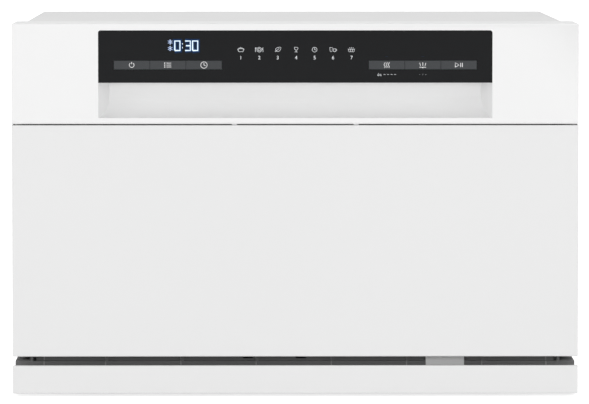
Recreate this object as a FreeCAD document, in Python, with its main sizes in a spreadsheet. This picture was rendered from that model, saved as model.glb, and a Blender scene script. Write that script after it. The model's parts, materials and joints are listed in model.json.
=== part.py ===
import FreeCAD, Part

# Table-top dishwasher with a drop-down door, a pull-out wire rack and a six-key control panel.
# Millimetres. The origin is the middle of the footprint on the table, +Z is up, and the door faces -Y.
# Every driving dimension is a cell of the sheet "Sizes", and every piece is an object of its own,
# labelled with the name of the piece, whose sizes are formulas of those cells.

import math
import os

import Sketcher
from FreeCAD import Vector

DOC = FreeCAD.newDocument("dishwasher")
SHEET = DOC.addObject("Spreadsheet::Sheet", "Sizes")

DIMENSIONS = [
    # Outside
    ("width", 550.0, "door, control panel and plinth, side to side"),
    ("height", 363.0, "table to the top of the front frame"),
    ("depth", 500.0, "front of the door to the end of the hose connections"),
    ("connection_reach", 14.0, "hose connections beyond the back panel"),
    ("foot_height", 8.0, "table to the underside of the base tray"),
    ("foot_radius", 17.0, "rubber foot"),
    ("foot_neck", 4.0, "stem of a rubber foot"),
    ("foot_side", 52.0, "foot axis from the side"),
    ("foot_front", 78.0, "front foot axis from the front"),
    ("foot_rear", 50.0, "rear foot axis from the back panel"),
    # Plinth and the gap above it
    ("plinth_bottom", 3.0, "table to the lower edge of the plinth"),
    ("plinth_height", 27.3, "visible height of the plinth"),
    ("plinth_sheet", 1.0, "sheet of the plinth"),
    ("plinth_lip", 4.0, "top lip of the plinth, front to back"),
    ("wing_drop", 6.3, "side wings of the plinth below its top, so that the door swings over them"),
    ("door_gap", 8.8, "open gap between the plinth and the door"),
    ("clip_width", 37.6, "light plinth clip seen in the gap"),
    ("clip_place", 146.8, "middle of the plinth clip from the middle plane"),
    ("clip_thick", 2.0, "plinth clip in front of the base"),
    # Door
    ("door_depth", 51.0, "front of the door to the rear edge of its side returns"),
    ("hinge_inset", 20.0, "hinge axis behind the front of the door"),
    ("hinge_height", 52.5, "hinge axis above the table"),
    ("door_sheet", 0.8, "painted sheet of the outer door"),
    ("door_return", 8.0, "turned-in top and bottom edge of the outer door"),
    ("door_corner", 1.2, "outside bend of the door sheet"),
    ("door_notch", 15.0, "cut-off lower corner of the door's side returns"),
    ("inner_sheet", 0.8, "stainless sheet of the inner door"),
    ("inner_plane", 33.0, "rear face of the inner door behind the hinge axis"),
    ("inner_half", 258.0, "half width of the inner door"),
    ("inner_bottom", 63.0, "lower edge of the inner door"),
    ("inner_top", 348.0, "upper edge of the inner door"),
    ("inner_flange", 16.0, "turned edge of the inner door"),
    ("inner_field", 1.5, "height of the pressed field of the inner door"),
    ("field_margin", 52.0, "pressed field in from the edge of the inner door"),
    ("runner_height", 3.0, "pressed runners that carry the rack wheels on the open door"),
    ("runner_width", 12.0, "pressed runners, across"),
    # Control panel
    ("panel_height", 97.5, "control panel"),
    ("panel_gap", 1.2, "joint between the control panel and the door sheet"),
    ("panel_wall", 3.0, "moulded wall of the control panel"),
    ("panel_corner", 1.5, "rounded front edges of the control panel"),
    ("spacer_place", 59.0, "spacers in the joint from the middle plane"),
    ("spacer_width", 5.0, "spacers in the joint"),
    ("window_half", 191.0, "black window and grip opening, half width"),
    ("window_bottom", 305.5, "lower edge of the black window"),
    ("window_top", 356.3, "upper edge of the black window"),
    ("window_thick", 2.0, "black window"),
    ("window_sink", 0.2, "front of the window behind the front of the panel"),
    ("window_corner", 2.5, "upper corners of the black window"),
    ("grip_bottom", 271.4, "lower edge of the grip opening"),
    ("grip_depth", 28.0, "grip pocket, front to back"),
    ("grip_rise", 6.0, "grip pocket above the lower edge of the window"),
    ("grip_draft", 10.0, "how much each end of the grip pocket closes in"),
    ("grip_sweep", 26.0, "radius of the scooped floor of the grip"),
    # Keys
    ("key_pitch", 35.0, "key to key"),
    ("key_height", 8.6, "key, top to bottom"),
    ("key_level", 322.7, "middle of the keys above the table"),
    ("key_gap", 0.3, "running gap round a key"),
    ("key_bank", 123.5, "middle of a bank of three keys from the middle plane"),
    ("key_travel", 0.8, "stroke of a key"),
    ("key_thick", 4.0, "cap of a key"),
    ("stem_radius", 2.5, "stem behind a key"),
    ("switch_height", 1.0, "key switches in front of the circuit board"),
    ("board_thick", 1.6, "circuit board"),
    ("board_height", 34.0, "circuit board, top to bottom"),
    ("board_half", 184.0, "circuit board, half width"),
    ("board_setback", 16.0, "circuit board behind the front"),
    # Latch
    ("latch_half", 24.0, "latch housing, half width"),
    ("latch_depth", 28.0, "latch housing, front to back"),
    ("latch_wall", 1.5, "latch housing wall"),
    ("hook_half", 6.0, "latch hook, half width"),
    ("hook_thick", 3.1, "latch hook, top to bottom"),
    ("hook_lip", 0.9, "lip of the latch hook"),
    ("hook_reach", 23.0, "latch hook behind the door"),
    ("pin_radius", 1.5, "pivot of the latch hook"),
    ("bar_radius", 1.4, "bar of the latch strike"),
    ("bar_setback", 10.0, "bar of the latch strike behind the front of the frame"),
    # Front frame and casing
    ("frame_gap", 2.0, "door side returns to the front frame"),
    ("frame_depth", 32.0, "front frame, front to back"),
    ("frame_leg", 13.0, "legs and top of the front frame, across"),
    ("frame_bottom", 34.0, "lower end of the frame legs"),
    ("frame_spigot", 12.0, "part of the frame inside the casing"),
    ("casing_inset", 7.3, "casing narrower than the front frame, each side"),
    ("casing_drop", 1.0, "top of the casing below the top of the front frame"),
    ("casing_sheet", 0.8, "painted sheet of the casing"),
    ("casing_bottom", 10.0, "lower edge of the casing"),
    ("casing_bend", 4.0, "outside bend of the casing"),
    ("back_sheet", 1.0, "back panel"),
    ("back_rib", 2.0, "pressed ribs of the back panel"),
    ("screw_head", 3.2, "screw heads, middle to corner"),
    # Base tray
    ("base_wall", 2.5, "moulded wall of the base tray"),
    ("base_rim", 62.0, "top of the base tray walls"),
    ("base_front", 36.5, "lower base front wall behind the front of the door"),
    ("base_step", 5.0, "setback of the upper base front wall"),
    ("step_level", 31.3, "height of the step in the base front wall"),
    ("nose_half", 254.0, "half width of the upper front part of the base"),
    ("rib_pitch", 73.7, "ribs on the base front wall"),
    ("rib_count", 8.0, "ribs on the base front wall"),
    ("rib_thick", 2.8, "ribs on the base front wall"),
    # Tub
    ("tub_sheet", 0.8, "stainless sheet of the tub"),
    ("tub_half", 243.0, "inside half width of the tub"),
    ("tub_top", 336.0, "inside top of the tub"),
    ("tub_rear", 205.0, "inside face of the tub back"),
    ("tub_corner", 26.0, "rounded upper corners of the tub"),
    ("tub_front", 60.0, "tub flange behind the front of the door"),
    ("ledge_level", 89.0, "side ledges that the rack wheels run on"),
    ("ledge_width", 24.0, "side ledges"),
    ("end_ledge", 12.0, "front and rear ledges"),
    ("floor_level", 80.0, "sunk middle of the tub floor"),
    ("floor_corner", 20.0, "corners of the sunk floor"),
    ("seal_thick", 6.6, "tub seal, front to back"),
    ("seal_width", 9.0, "tub seal, across"),
    ("seal_inset", 2.0, "tub seal from the inside of the tub"),
    # Sump, filters and spray arm
    ("sump_x", 40.0, "sump axis, right of the middle"),
    ("sump_y", -10.0, "sump axis, front to back"),
    ("sump_radius", 84.0, "sump bowl, outside"),
    ("sump_wall", 3.0, "sump wall"),
    ("sump_bottom", 36.0, "underside of the sump bowl"),
    ("plate_thick", 1.5, "flat filter"),
    ("plate_lap", 8.0, "flat filter beyond the sump opening"),
    ("filter_x", 78.0, "cylinder filter axis"),
    ("filter_y", -38.0, "cylinder filter axis"),
    ("filter_radius", 31.7, "cylinder filter"),
    ("filter_wall", 1.5, "cylinder filter wall"),
    ("spray_x", 0.0, "spray arm axis"),
    ("spray_y", 20.0, "spray arm axis"),
    ("spray_reach", 172.0, "spray arm axis to its tip"),
    ("spray_level", 90.5, "underside of the spray arm"),
    ("spray_thick", 11.0, "spray arm, top to bottom"),
    ("riser_radius", 9.0, "pipe that the spray arm turns on"),
    ("riser_top", 104.0, "top of the riser pipe"),
    ("riser_fit", 0.1, "running clearance of the spray arm on its pipe"),
    ("hub_radius", 16.0, "hub of the spray arm"),
    # Corner fittings of the tub floor
    ("salt_x", -186.0, "salt funnel axis"),
    ("salt_y", -142.0, "salt funnel axis"),
    ("salt_radius", 24.0, "salt cap"),
    ("float_x", 188.0, "float axis"),
    ("float_y", 163.0, "float axis"),
    ("float_radius", 13.0, "float"),
    ("float_stem", 3.5, "stem of the float"),
    ("float_rise", 6.0, "travel of the float"),
    # Rack
    ("wire_radius", 2.0, "rack wire"),
    ("rim_radius", 2.5, "rim wire of the rack"),
    ("rack_half", 218.0, "side walls of the rack, wire centres"),
    ("rack_front", -176.0, "front wall of the rack, wire centres"),
    ("rack_rear", 186.0, "rear wall of the rack, wire centres"),
    ("rack_floor_level", 112.0, "lower floor wires, centres"),
    ("rack_rim_level", 246.0, "rim of the rack, wire centre"),
    ("wires_along", 10.0, "floor wires that run front to back"),
    ("wires_across", 9.0, "floor wires that run side to side"),
    ("weld_bite", 0.3, "how far crossing wires sink into each other"),
    ("wheel_radius", 11.0, "rack wheel"),
    ("wheel_width", 7.0, "rack wheel"),
    ("wheel_fit", 0.1, "running clearance of a wheel on its axle"),
    ("rolling_gap", 0.3, "clearance of a part that slides or rolls over another"),
    ("axle_radius", 2.5, "wheel axle"),
    ("wheel_front", -124.0, "front wheel axle"),
    ("wheel_rear", 140.0, "rear wheel axle"),
    ("tine_height", 62.0, "folding tines above their pivot wire"),
    ("tine_pitch", 28.0, "folding tines"),
    ("tine_count", 9.0, "tines in a folding row"),
    ("tine_left", -190.0, "first tine of a folding row"),
    ("tine_front_row", -66.0, "front folding row"),
    ("tine_rear_row", 64.0, "rear folding row"),
    ("pivot_fit", 0.1, "running clearance of a pivot wire in its clips"),
    ("clip_wall", 2.5, "clips round the pivot wires"),
    ("shelf_level", 214.0, "pivot wire of the cup shelf"),
    ("shelf_reach", 84.0, "cup shelf, from its pivot wire"),
    ("shelf_length", 190.0, "cup shelf, front to back"),
    ("shelf_wires", 7.0, "cross wires of the cup shelf"),
    ("cutlery_width", 72.0, "cutlery basket, side to side"),
    ("cutlery_length", 210.0, "cutlery basket, front to back"),
    ("cutlery_height", 110.0, "cutlery basket"),
    ("cutlery_wall", 2.0, "cutlery basket wall"),
    # Dispenser in the inner door
    ("dispenser_left", -104.0, "left end of the dispenser body"),
    ("dispenser_right", 64.0, "right end of the dispenser body"),
    ("dispenser_bottom", 128.0, "lower edge of the dispenser body"),
    ("dispenser_top", 220.0, "upper edge of the dispenser body"),
    ("dispenser_depth", 36.0, "dispenser, front to back"),
    ("dispenser_flange", 4.0, "flange round the dispenser"),
    ("flange_thick", 2.0, "flange of the dispenser"),
    ("cup_left", -44.0, "left wall of the detergent cup"),
    ("cup_width", 60.0, "detergent cup"),
    ("cup_bottom", 146.0, "lower wall of the detergent cup"),
    ("cup_height", 54.0, "detergent cup"),
    ("cup_depth", 26.0, "detergent cup"),
    ("lid_lap", 4.0, "lid beyond the detergent cup"),
    ("lid_thick", 2.0, "detergent lid"),
    ("cap_x", 42.0, "rinse aid cap axis"),
    ("cap_level", 174.0, "rinse aid cap axis"),
    ("cap_radius", 16.0, "rinse aid cap"),
    # Water and power connections
    ("inlet_radius", 13.2, "water inlet thread, outside"),
    ("inlet_x", -196.0, "water inlet"),
    ("outlet_radius", 9.0, "drain spout, outside"),
    ("outlet_x", -138.0, "drain spout"),
    ("neck_step", 0.4, "necks of the connections inside the wall, thinner than outside"),
    ("cord_x", 205.0, "power cord gland"),
    ("gland_radius", 9.0, "power cord gland"),
    ("cord_radius", 3.6, "way through the cord gland"),
    ("service_level", 44.0, "height of the connections"),
    ("hose_radius", 7.0, "hoses between the pumps, tank and valves"),
]


class Size:
    """A length that keeps both its number and the sheet formula that gives it."""

    def __init__(self, value, formula):
        self.value = float(value)
        self.formula = formula

    def __add__(self, other):
        other = size(other)
        return Size(self.value + other.value, f"({self.formula} + {other.formula})")

    def __sub__(self, other):
        other = size(other)
        return Size(self.value - other.value, f"({self.formula} - {other.formula})")

    def __mul__(self, other):
        other = size(other)
        return Size(self.value * other.value, f"({self.formula} * {other.formula})")

    def __truediv__(self, other):
        other = size(other)
        return Size(self.value / other.value, f"({self.formula} / {other.formula})")

    def __neg__(self):
        return Size(-self.value, f"(0 - {self.formula})")

    def __radd__(self, other):
        return size(other) + self

    def __rsub__(self, other):
        return size(other) - self

    def __rmul__(self, other):
        return size(other) * self


def size(number):
    """A plain number as a Size, or a Size as it is."""
    return number if isinstance(number, Size) else Size(number, repr(float(number)))


class Cells:
    """The sheet's cells as attributes: cells.width is the Size of the cell named width."""

    def __init__(self, table):
        for row, (alias, number, meaning) in enumerate(table, start=1):
            SHEET.set(f"A{row}", meaning)
            SHEET.set(f"B{row}", str(number))
            SHEET.setAlias(f"B{row}", alias)
            setattr(self, alias, Size(number, f"Sizes.{alias}"))


C = Cells(DIMENSIONS)
DOC.recompute()


def bind(thing, prop, length):
    """Ties one property of a feature to the formula of a Size."""
    length = size(length)
    if "." not in prop:
        setattr(thing, prop, length.value)
    thing.setExpression(prop, length.formula)


PIECES = []


def new_body(label):
    """An empty body, which is one piece of the machine."""
    made = DOC.addObject("PartDesign::Body", label)
    made.Label = label
    made.AllowCompound = True
    PIECES.append(made)
    return made


def new_solid(label, shape):
    """A piece whose shape is swept or joined outside a body."""
    made = DOC.addObject("Part::Feature", label)
    made.Label = label
    made.Shape = shape
    made.Placement = FreeCAD.Placement()
    PIECES.append(made)
    return made


def origin_of(body, role):
    """One of the body's own origin planes or axes, by its role."""
    return next(f for f in body.Origin.OriginFeatures if f.Role == role)


def rect(x_low, y_low, x_high, y_high, radius=None):
    """The corners of a rectangle, all with one corner radius or none."""
    corners = [(x_low, y_low), (x_high, y_low), (x_high, y_high), (x_low, y_high)]
    return [c + (radius,) for c in corners] if radius is not None else corners


class Circle:
    """A round outline."""

    def __init__(self, x, y, radius):
        self.x = size(x)
        self.y = size(y)
        self.radius = size(radius)


def hexagon(x, y, radius):
    """The outline of a hexagon screw head."""
    turns = [math.pi * step / 3 for step in range(6)]
    return [(size(x) + radius * math.cos(turn), size(y) + radius * math.sin(turn)) for turn in turns]


def octagon(x, y, apothem):
    """An outline with eight flat sides that just holds a circle: the section of a wire that repeats."""
    x, y, apothem = size(x), size(y), size(apothem)
    short = apothem * math.tan(math.pi / 8)
    quarter = [(apothem, short), (short, apothem)]
    corners = []
    for _ in range(4):
        corners += [(x + across, y + up) for across, up in quarter]
        quarter = [(-up, across) for across, up in quarter]
    return corners


def place_point(sketch, geometry, position, x, y):
    """Holds a point of the sketch at the formulas of x and y."""
    for kind, length in (("DistanceX", x), ("DistanceY", y)):
        index = sketch.addConstraint(
            Sketcher.Constraint(kind, -1, 1, geometry, position, length.value)
        )
        sketch.setExpression(f"Constraints[{index}]", length.formula)


def draw_circle(sketch, circle):
    """One circle, held by its centre and radius."""
    centre = Vector(circle.x.value, circle.y.value, 0)
    made = sketch.addGeometry(Part.Circle(centre, Vector(0, 0, 1), circle.radius.value))
    place_point(sketch, made, 3, circle.x, circle.y)
    index = sketch.addConstraint(Sketcher.Constraint("Radius", made, circle.radius.value))
    sketch.setExpression(f"Constraints[{index}]", circle.radius.formula)


def draw_loop(sketch, corners):
    """A closed outline through corners of (x, y) or (x, y, radius). Each corner point is held by formulas."""
    corners = [tuple(size(v) for v in c) for c in corners]
    spots = [Vector(c[0].value, c[1].value, 0) for c in corners]
    count = len(corners)
    begin, end, arcs = {}, {}, {}
    for i, corner in enumerate(corners):
        if len(corner) == 2:
            begin[i] = end[i] = spots[i]
            continue
        back = (spots[i - 1] - spots[i]).normalize()
        ahead = (spots[(i + 1) % count] - spots[i]).normalize()
        half = math.acos(max(-1.0, min(1.0, back.dot(ahead)))) / 2
        reach = corner[2].value / math.tan(half)
        begin[i] = spots[i] + back * reach
        end[i] = spots[i] + ahead * reach
        middle = spots[i] + (back + ahead).normalize() * (corner[2].value / math.sin(half))
        turns_left = back.cross(ahead).z < 0
        first, last = (begin[i], end[i]) if turns_left else (end[i], begin[i])
        start_angle = math.atan2(first.y - middle.y, first.x - middle.x)
        end_angle = math.atan2(last.y - middle.y, last.x - middle.x)
        round_part = Part.Circle(middle, Vector(0, 0, 1), corner[2].value)
        arcs[i] = (Part.ArcOfCircle(round_part, start_angle, end_angle), turns_left)
    lines = [
        sketch.addGeometry(Part.LineSegment(end[i], begin[(i + 1) % count]))
        for i in range(count)
    ]
    for i, corner in enumerate(corners):
        before, after = lines[i - 1], lines[i]
        if i not in arcs:
            sketch.addConstraint(Sketcher.Constraint("Coincident", before, 2, after, 1))
            place_point(sketch, after, 1, corner[0], corner[1])
            continue
        arc, turns_left = arcs[i]
        made = sketch.addGeometry(arc)
        near, far = (1, 2) if turns_left else (2, 1)
        sketch.addConstraint(Sketcher.Constraint("Tangent", before, 2, made, near))
        sketch.addConstraint(Sketcher.Constraint("Tangent", made, far, after, 1))
        index = sketch.addConstraint(Sketcher.Constraint("Radius", made, corner[2].value))
        sketch.setExpression(f"Constraints[{index}]", corner[2].formula)
        apex = sketch.addGeometry(Part.Point(spots[i]), True)
        place_point(sketch, apex, 1, corner[0], corner[1])
        sketch.addConstraint(Sketcher.Constraint("PointOnObject", apex, 1, before))
        sketch.addConstraint(Sketcher.Constraint("PointOnObject", apex, 1, after))


def new_sketch(body, plane, level, outlines):
    """A sketch on an origin plane of the body, moved to a level along the plane's world axis."""
    sketch = body.newObject("Sketcher::SketchObject", f"{body.Label}_sketch")
    sketch.AttachmentSupport = [(origin_of(body, f"{plane}_Plane"), "")]
    sketch.MapMode = "FlatFace"
    level = size(level)
    bind(sketch, "AttachmentOffset.Base.z", -level if plane == "XZ" else level)
    for outline in outlines:
        if isinstance(outline, Circle):
            draw_circle(sketch, outline)
        else:
            draw_loop(sketch, outline)
    return sketch


def extrude(body, kind, plane, low, high, outlines):
    """A Pad or Pocket of the outlines from one level to a higher one along the plane's world axis."""
    low, high = size(low), size(high)
    feature_sketch = new_sketch(body, plane, low, outlines)
    made = body.newObject(f"PartDesign::{kind}", f"{body.Label}_{kind.lower()}")
    made.Profile = (feature_sketch, [""])
    made.Type = "Length"
    bind(made, "Length", high - low)
    faces_down_axis = plane == "XZ"
    made.Reversed = faces_down_axis if kind == "Pad" else not faces_down_axis
    return made


def add(body, plane, low, high, *outlines):
    """Material between two levels. A loop inside another is a hole."""
    return extrude(body, "Pad", plane, low, high, outlines)


def cut(body, plane, low, high, *outlines):
    """Removes material between two levels."""
    return extrude(body, "Pocket", plane, low, high, outlines)


def turn(body, kind, plane, level, outline, axis_x, axis_y):
    """A full Revolution or Groove of an outline about the upright line through axis_x, axis_y."""
    sketch = new_sketch(body, plane, level, [outline])
    start = Vector(axis_x.value, axis_y.value, 0)
    axis = sketch.addGeometry(Part.LineSegment(start, start + Vector(0, 10, 0)), True)
    place_point(sketch, axis, 1, axis_x, axis_y)
    place_point(sketch, axis, 2, axis_x, axis_y + 10)
    made = body.newObject(f"PartDesign::{kind}", f"{body.Label}_{kind.lower()}")
    made.Profile = (sketch, [""])
    made.ReferenceAxis = (sketch, ["Axis0"])
    made.Angle = 360
    return made


def repeat(body, feature, axis, count, span):
    """Copies of a feature spread evenly over a span along a world axis."""
    made = body.newObject("PartDesign::LinearPattern", f"{body.Label}_row")
    made.Originals = [feature]
    made.Direction = (origin_of(body, f"{axis}_Axis"), [""])
    made.Mode = "Extent"
    bind(made, "Length", span)
    made.Occurrences = int(round(size(count).value))
    made.setExpression("Occurrences", size(count).formula)
    body.Tip = made
    return made


def reflect(body, features, plane):
    """Mirrors features across an origin plane of the body."""
    made = body.newObject("PartDesign::Mirrored", f"{body.Label}_mirror")
    made.Originals = features
    made.MirrorPlane = (origin_of(body, f"{plane}_Plane"), [""])
    body.Tip = made
    return made


def soften(body, radius, wanted, kind="Fillet"):
    """Fillets or chamfers the edges of the body that a test picks."""
    DOC.recompute()
    edges = [f"Edge{i}" for i, e in enumerate(body.Shape.Edges, start=1) if wanted(e)]
    base = body.Tip
    made = body.newObject(f"PartDesign::{kind}", f"{body.Label}_{kind.lower()}")
    made.Base = (base, edges)
    bind(made, "Radius" if kind == "Fillet" else "Size", radius)
    body.Tip = made
    return made


def runs_along(edge, axis):
    """True for a straight edge parallel to a world axis."""
    if not isinstance(edge.Curve, Part.Line):
        return False
    return abs(abs(getattr(edge.Curve.Direction, axis.lower())) - 1) < 1e-6


def at_level(edge, axis, level, slack=0.01):
    """True if the whole edge lies at one level along a world axis."""
    box = edge.BoundBox
    low, high = getattr(box, f"{axis}Min"), getattr(box, f"{axis}Max")
    level = size(level).value
    return abs(low - level) < slack and abs(high - level) < slack


# Places that several pieces share

HALF = C.width / 2
FRONT = -C.depth / 2
BACK = C.depth / 2 - C.connection_reach
BACK_INNER = BACK - C.back_sheet
PLINTH_TOP = C.plinth_bottom + C.plinth_height
DOOR_LOW = PLINTH_TOP + C.door_gap
PANEL_LOW = C.height - C.panel_height
DOOR_HIGH = PANEL_LOW - C.panel_gap
DOOR_REAR = FRONT + C.door_depth
HINGE_Y = FRONT + C.hinge_inset
INNER_REAR = HINGE_Y + C.inner_plane
INNER_FOOT = INNER_REAR - C.inner_flange
FIELD_FACE = INNER_REAR + C.inner_field
FRAME_FRONT = DOOR_REAR + C.frame_gap
FRAME_REAR = FRAME_FRONT + C.frame_depth
FRAME_INNER = HALF - C.frame_leg
FRAME_TOP_INNER = C.height - C.frame_leg
CASING_HALF = HALF - C.casing_inset
CASING_INNER = CASING_HALF - C.casing_sheet
CASING_TOP = C.height - C.casing_drop
TUB_FRONT = FRONT + C.tub_front
TUB_OUTER = C.tub_half + C.tub_sheet
FLOOR_UNDER = C.floor_level - C.tub_sheet
BASE_FRONT = FRONT + C.base_front
NOSE_FRONT = BASE_FRONT + C.base_step
BASE_FLOOR = C.foot_height + C.base_wall
PANEL_INNER = FRONT + C.panel_wall
GRIP_REAR = FRONT + C.grip_depth
GRIP_ROOF = C.window_bottom + C.grip_rise
BOARD_FRONT = FRONT + C.board_setback
BOARD_LOW = GRIP_ROOF + C.panel_wall + 1
WHEEL_AXIS = C.ledge_level + C.rolling_gap + C.wheel_radius
WHEEL_START = C.rack_half + C.rim_radius + 1.5
CROSS_LEVEL = C.rack_floor_level + 2 * C.wire_radius - C.weld_bite
PIVOT_LEVEL = CROSS_LEVEL + C.wire_radius + C.clip_wall + C.wire_radius
WALL_LEVELS = [
    C.rack_floor_level + (C.rack_rim_level - C.rack_floor_level) * share
    for share in (1 / 3, 2 / 3)
]


# Base, plinth and feet


def tray_plan(nose_half, nose_front, wall, shoulder):
    """The base tray seen from above, shrunk by a wall, with its front part at a width of its own."""
    main_x = CASING_INNER - wall
    nose_x = nose_half - wall
    step_y = FRAME_REAR + shoulder
    rear_y = BACK_INNER - wall
    front_y = nose_front + wall
    return [
        (-main_x, rear_y),
        (-main_x, step_y),
        (-nose_x, step_y),
        (-nose_x, front_y),
        (nose_x, front_y),
        (nose_x, step_y),
        (main_x, step_y),
        (main_x, rear_y),
    ]


def make_base_tray():
    """The moulded tray that carries everything, with the ribbed front seen under the door."""
    body = new_body("base_tray")
    wall = C.base_wall
    low_half = HALF - C.plinth_sheet
    lid_low = C.step_level - wall
    add(body, "XY", C.foot_height, C.step_level, tray_plan(low_half, BASE_FRONT, size(0), size(0)))
    add(body, "XY", C.step_level, C.base_rim, tray_plan(C.nose_half, NOSE_FRONT, size(0), size(0)))
    cut(body, "XY", BASE_FLOOR, lid_low, tray_plan(low_half, BASE_FRONT, wall, -wall))
    cut(body, "XY", lid_low, C.base_rim, tray_plan(C.nose_half, NOSE_FRONT, wall, wall))
    first = -C.rib_pitch * (C.rib_count - 1) / 2
    rib = add(
        body,
        "XZ",
        BASE_FRONT,
        NOSE_FRONT,
        rect(first - C.rib_thick / 2, C.step_level, first + C.rib_thick / 2, C.step_level + 7),
    )
    repeat(body, rib, "X", C.rib_count, -first * 2)
    for x in (-46, 5.5):
        drain = rect(x - 5, C.step_level + 2, x + 5, C.step_level + 5)
        cut(body, "XZ", NOSE_FRONT, NOSE_FRONT + wall, drain)
    x = SPRING_X
    slots = [
        cut(body, "XY", lid_low, C.step_level, rect(x - 3.5, FRAME_REAR - 22, x + 3.5, FRAME_REAR)),
        cut(body, "XZ", FRAME_REAR, FRAME_REAR + wall, rect(x - 5, lid_low - 6, x + 5, lid_low + 8)),
        add(body, "XY", BASE_FLOOR, SPRING_LEVEL + 4, rect(x - 3, SPRING_END, x + 3, SPRING_END + 4)),
    ]
    reflect(body, slots, "YZ")
    for x in (HALF - C.foot_side, -HALF + C.foot_side):
        for y in (FRONT + C.foot_front, BACK - C.foot_rear):
            cut(body, "XY", C.foot_height, BASE_FLOOR, Circle(x, y, C.foot_neck))
    for x, radius in SERVICE_HOLES:
        cut(body, "XZ", BACK_INNER - wall, BACK_INNER, Circle(x, C.service_level, radius))
    vent = cut(body, "XY", C.foot_height, BASE_FLOOR, rect(-150, 60, -144, 150))
    repeat(body, vent, "X", 5, 64)
    return body


def make_plinth():
    """The front board under the door, with side wings and stand-offs that meet the base tray."""
    body = new_body("plinth")
    inner = FRONT + C.plinth_sheet
    lip_end = FRONT + C.plinth_lip
    add(body, "XZ", FRONT, inner, rect(-HALF, C.plinth_bottom, HALF, PLINTH_TOP))
    add(body, "XY", PLINTH_TOP - C.plinth_sheet, PLINTH_TOP, rect(-HALF, inner, HALF, lip_end))
    add(body, "XY", C.plinth_bottom, C.plinth_bottom + C.plinth_sheet, rect(-HALF, inner, HALF, lip_end + 2))
    wing_top = PLINTH_TOP - C.wing_drop
    wing = add(
        body,
        "YZ",
        HALF - C.plinth_sheet,
        HALF,
        [(inner, C.plinth_bottom), (FRAME_REAR, C.plinth_bottom), (FRAME_REAR, wing_top),
         (lip_end + C.wing_drop, wing_top), (lip_end, PLINTH_TOP), (inner, PLINTH_TOP)],
    )
    props = []
    for x in (HALF / 3, HALF * 0.8):
        props.append(
            add(body, "YZ", x - 1.5, x + 1.5, rect(inner, C.foot_height + 2, BASE_FRONT, PLINTH_TOP - 9))
        )
    reflect(body, [wing] + props, "YZ")
    soften(body, 0.8, lambda e: runs_along(e, "X") and at_level(e, "Y", FRONT))
    return body


def make_plinth_clip():
    """The light clip that holds the plinth and shows in the gap under the door."""
    body = new_body("plinth_clip")
    face = BASE_FRONT - C.clip_thick
    low = C.foot_height + 6
    add(
        body,
        "YZ",
        C.clip_place - C.clip_width / 2,
        C.clip_place + C.clip_width / 2,
        [(FRONT + C.plinth_sheet, low), (BASE_FRONT, low), (BASE_FRONT, C.step_level + 7),
         (face, C.step_level + 7), (face, low + 4), (FRONT + C.plinth_sheet, low + 4)],
    )
    soften(body, 1.5, lambda e: runs_along(e, "Y") and at_level(e, "Z", C.step_level + 7))
    return body


def make_rubber_feet():
    """Four rubber feet pushed into the base tray."""
    body = new_body("rubber_feet")
    for x in (HALF - C.foot_side, -HALF + C.foot_side):
        for y in (FRONT + C.foot_front, BACK - C.foot_rear):
            add(body, "XY", 0, C.foot_height, Circle(x, y, C.foot_radius))
            add(body, "XY", C.foot_height, BASE_FLOOR + 3, Circle(x, y, C.foot_neck))
    soften(body, 2, lambda e: at_level(e, "Z", 0), "Chamfer")
    return body


SPRING_X = C.nose_half + 5.2
SPRING_LEVEL = C.step_level - 2.3
SPRING_START = FRAME_REAR + 5
SPRING_END = FRAME_REAR + 75
GLAND_HOLE = C.gland_radius
SERVICE_HOLES = [
    (C.inlet_x, C.inlet_radius),
    (C.outlet_x, C.outlet_radius),
    (C.cord_x, GLAND_HOLE),
]


# Casing, back and front frame


def arch(half, top, bottom, thick_side, thick_top, radius_out=None, radius_in=None):
    """An upside-down U: outside half width and top, legs and bar of their own thickness."""
    outer = (radius_out,) if radius_out is not None else ()
    inner = (radius_in,) if radius_in is not None else ()
    side = half - thick_side
    under = top - thick_top
    return [
        (-half, bottom),
        (-side, bottom),
        (-side, under) + inner,
        (side, under) + inner,
        (side, bottom),
        (half, bottom),
        (half, top) + outer,
        (-half, top) + outer,
    ]


def make_outer_casing():
    """The painted sheet round the sides and top."""
    body = new_body("outer_casing")
    thick = C.casing_sheet
    add(
        body,
        "XZ",
        FRAME_REAR,
        BACK_INNER,
        arch(CASING_HALF, CASING_TOP, C.casing_bottom, thick, thick, C.casing_bend, C.casing_bend - thick),
    )
    return body


def make_back_panel():
    """The rear sheet with its pressed ribs, air slots and ways out for the connections."""
    body = new_body("back_panel")
    add(
        body,
        "XZ",
        BACK_INNER,
        BACK,
        [(-CASING_HALF, C.casing_bottom), (CASING_HALF, C.casing_bottom),
         (CASING_HALF, CASING_TOP, C.casing_bend), (-CASING_HALF, CASING_TOP, C.casing_bend)],
    )
    rib = add(body, "XZ", BACK, BACK + C.back_rib, rect(-175, 120, -165, CASING_TOP - 50, size(4.9)))
    repeat(body, rib, "X", 3, 340)
    slot = cut(body, "XZ", BACK_INNER, BACK, rect(60, 80, 66, 104))
    repeat(body, slot, "X", 6, 70)
    for x, radius in SERVICE_HOLES:
        cut(body, "XZ", BACK_INNER, BACK, Circle(x, C.service_level, radius + 0.3))
    return body


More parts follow.
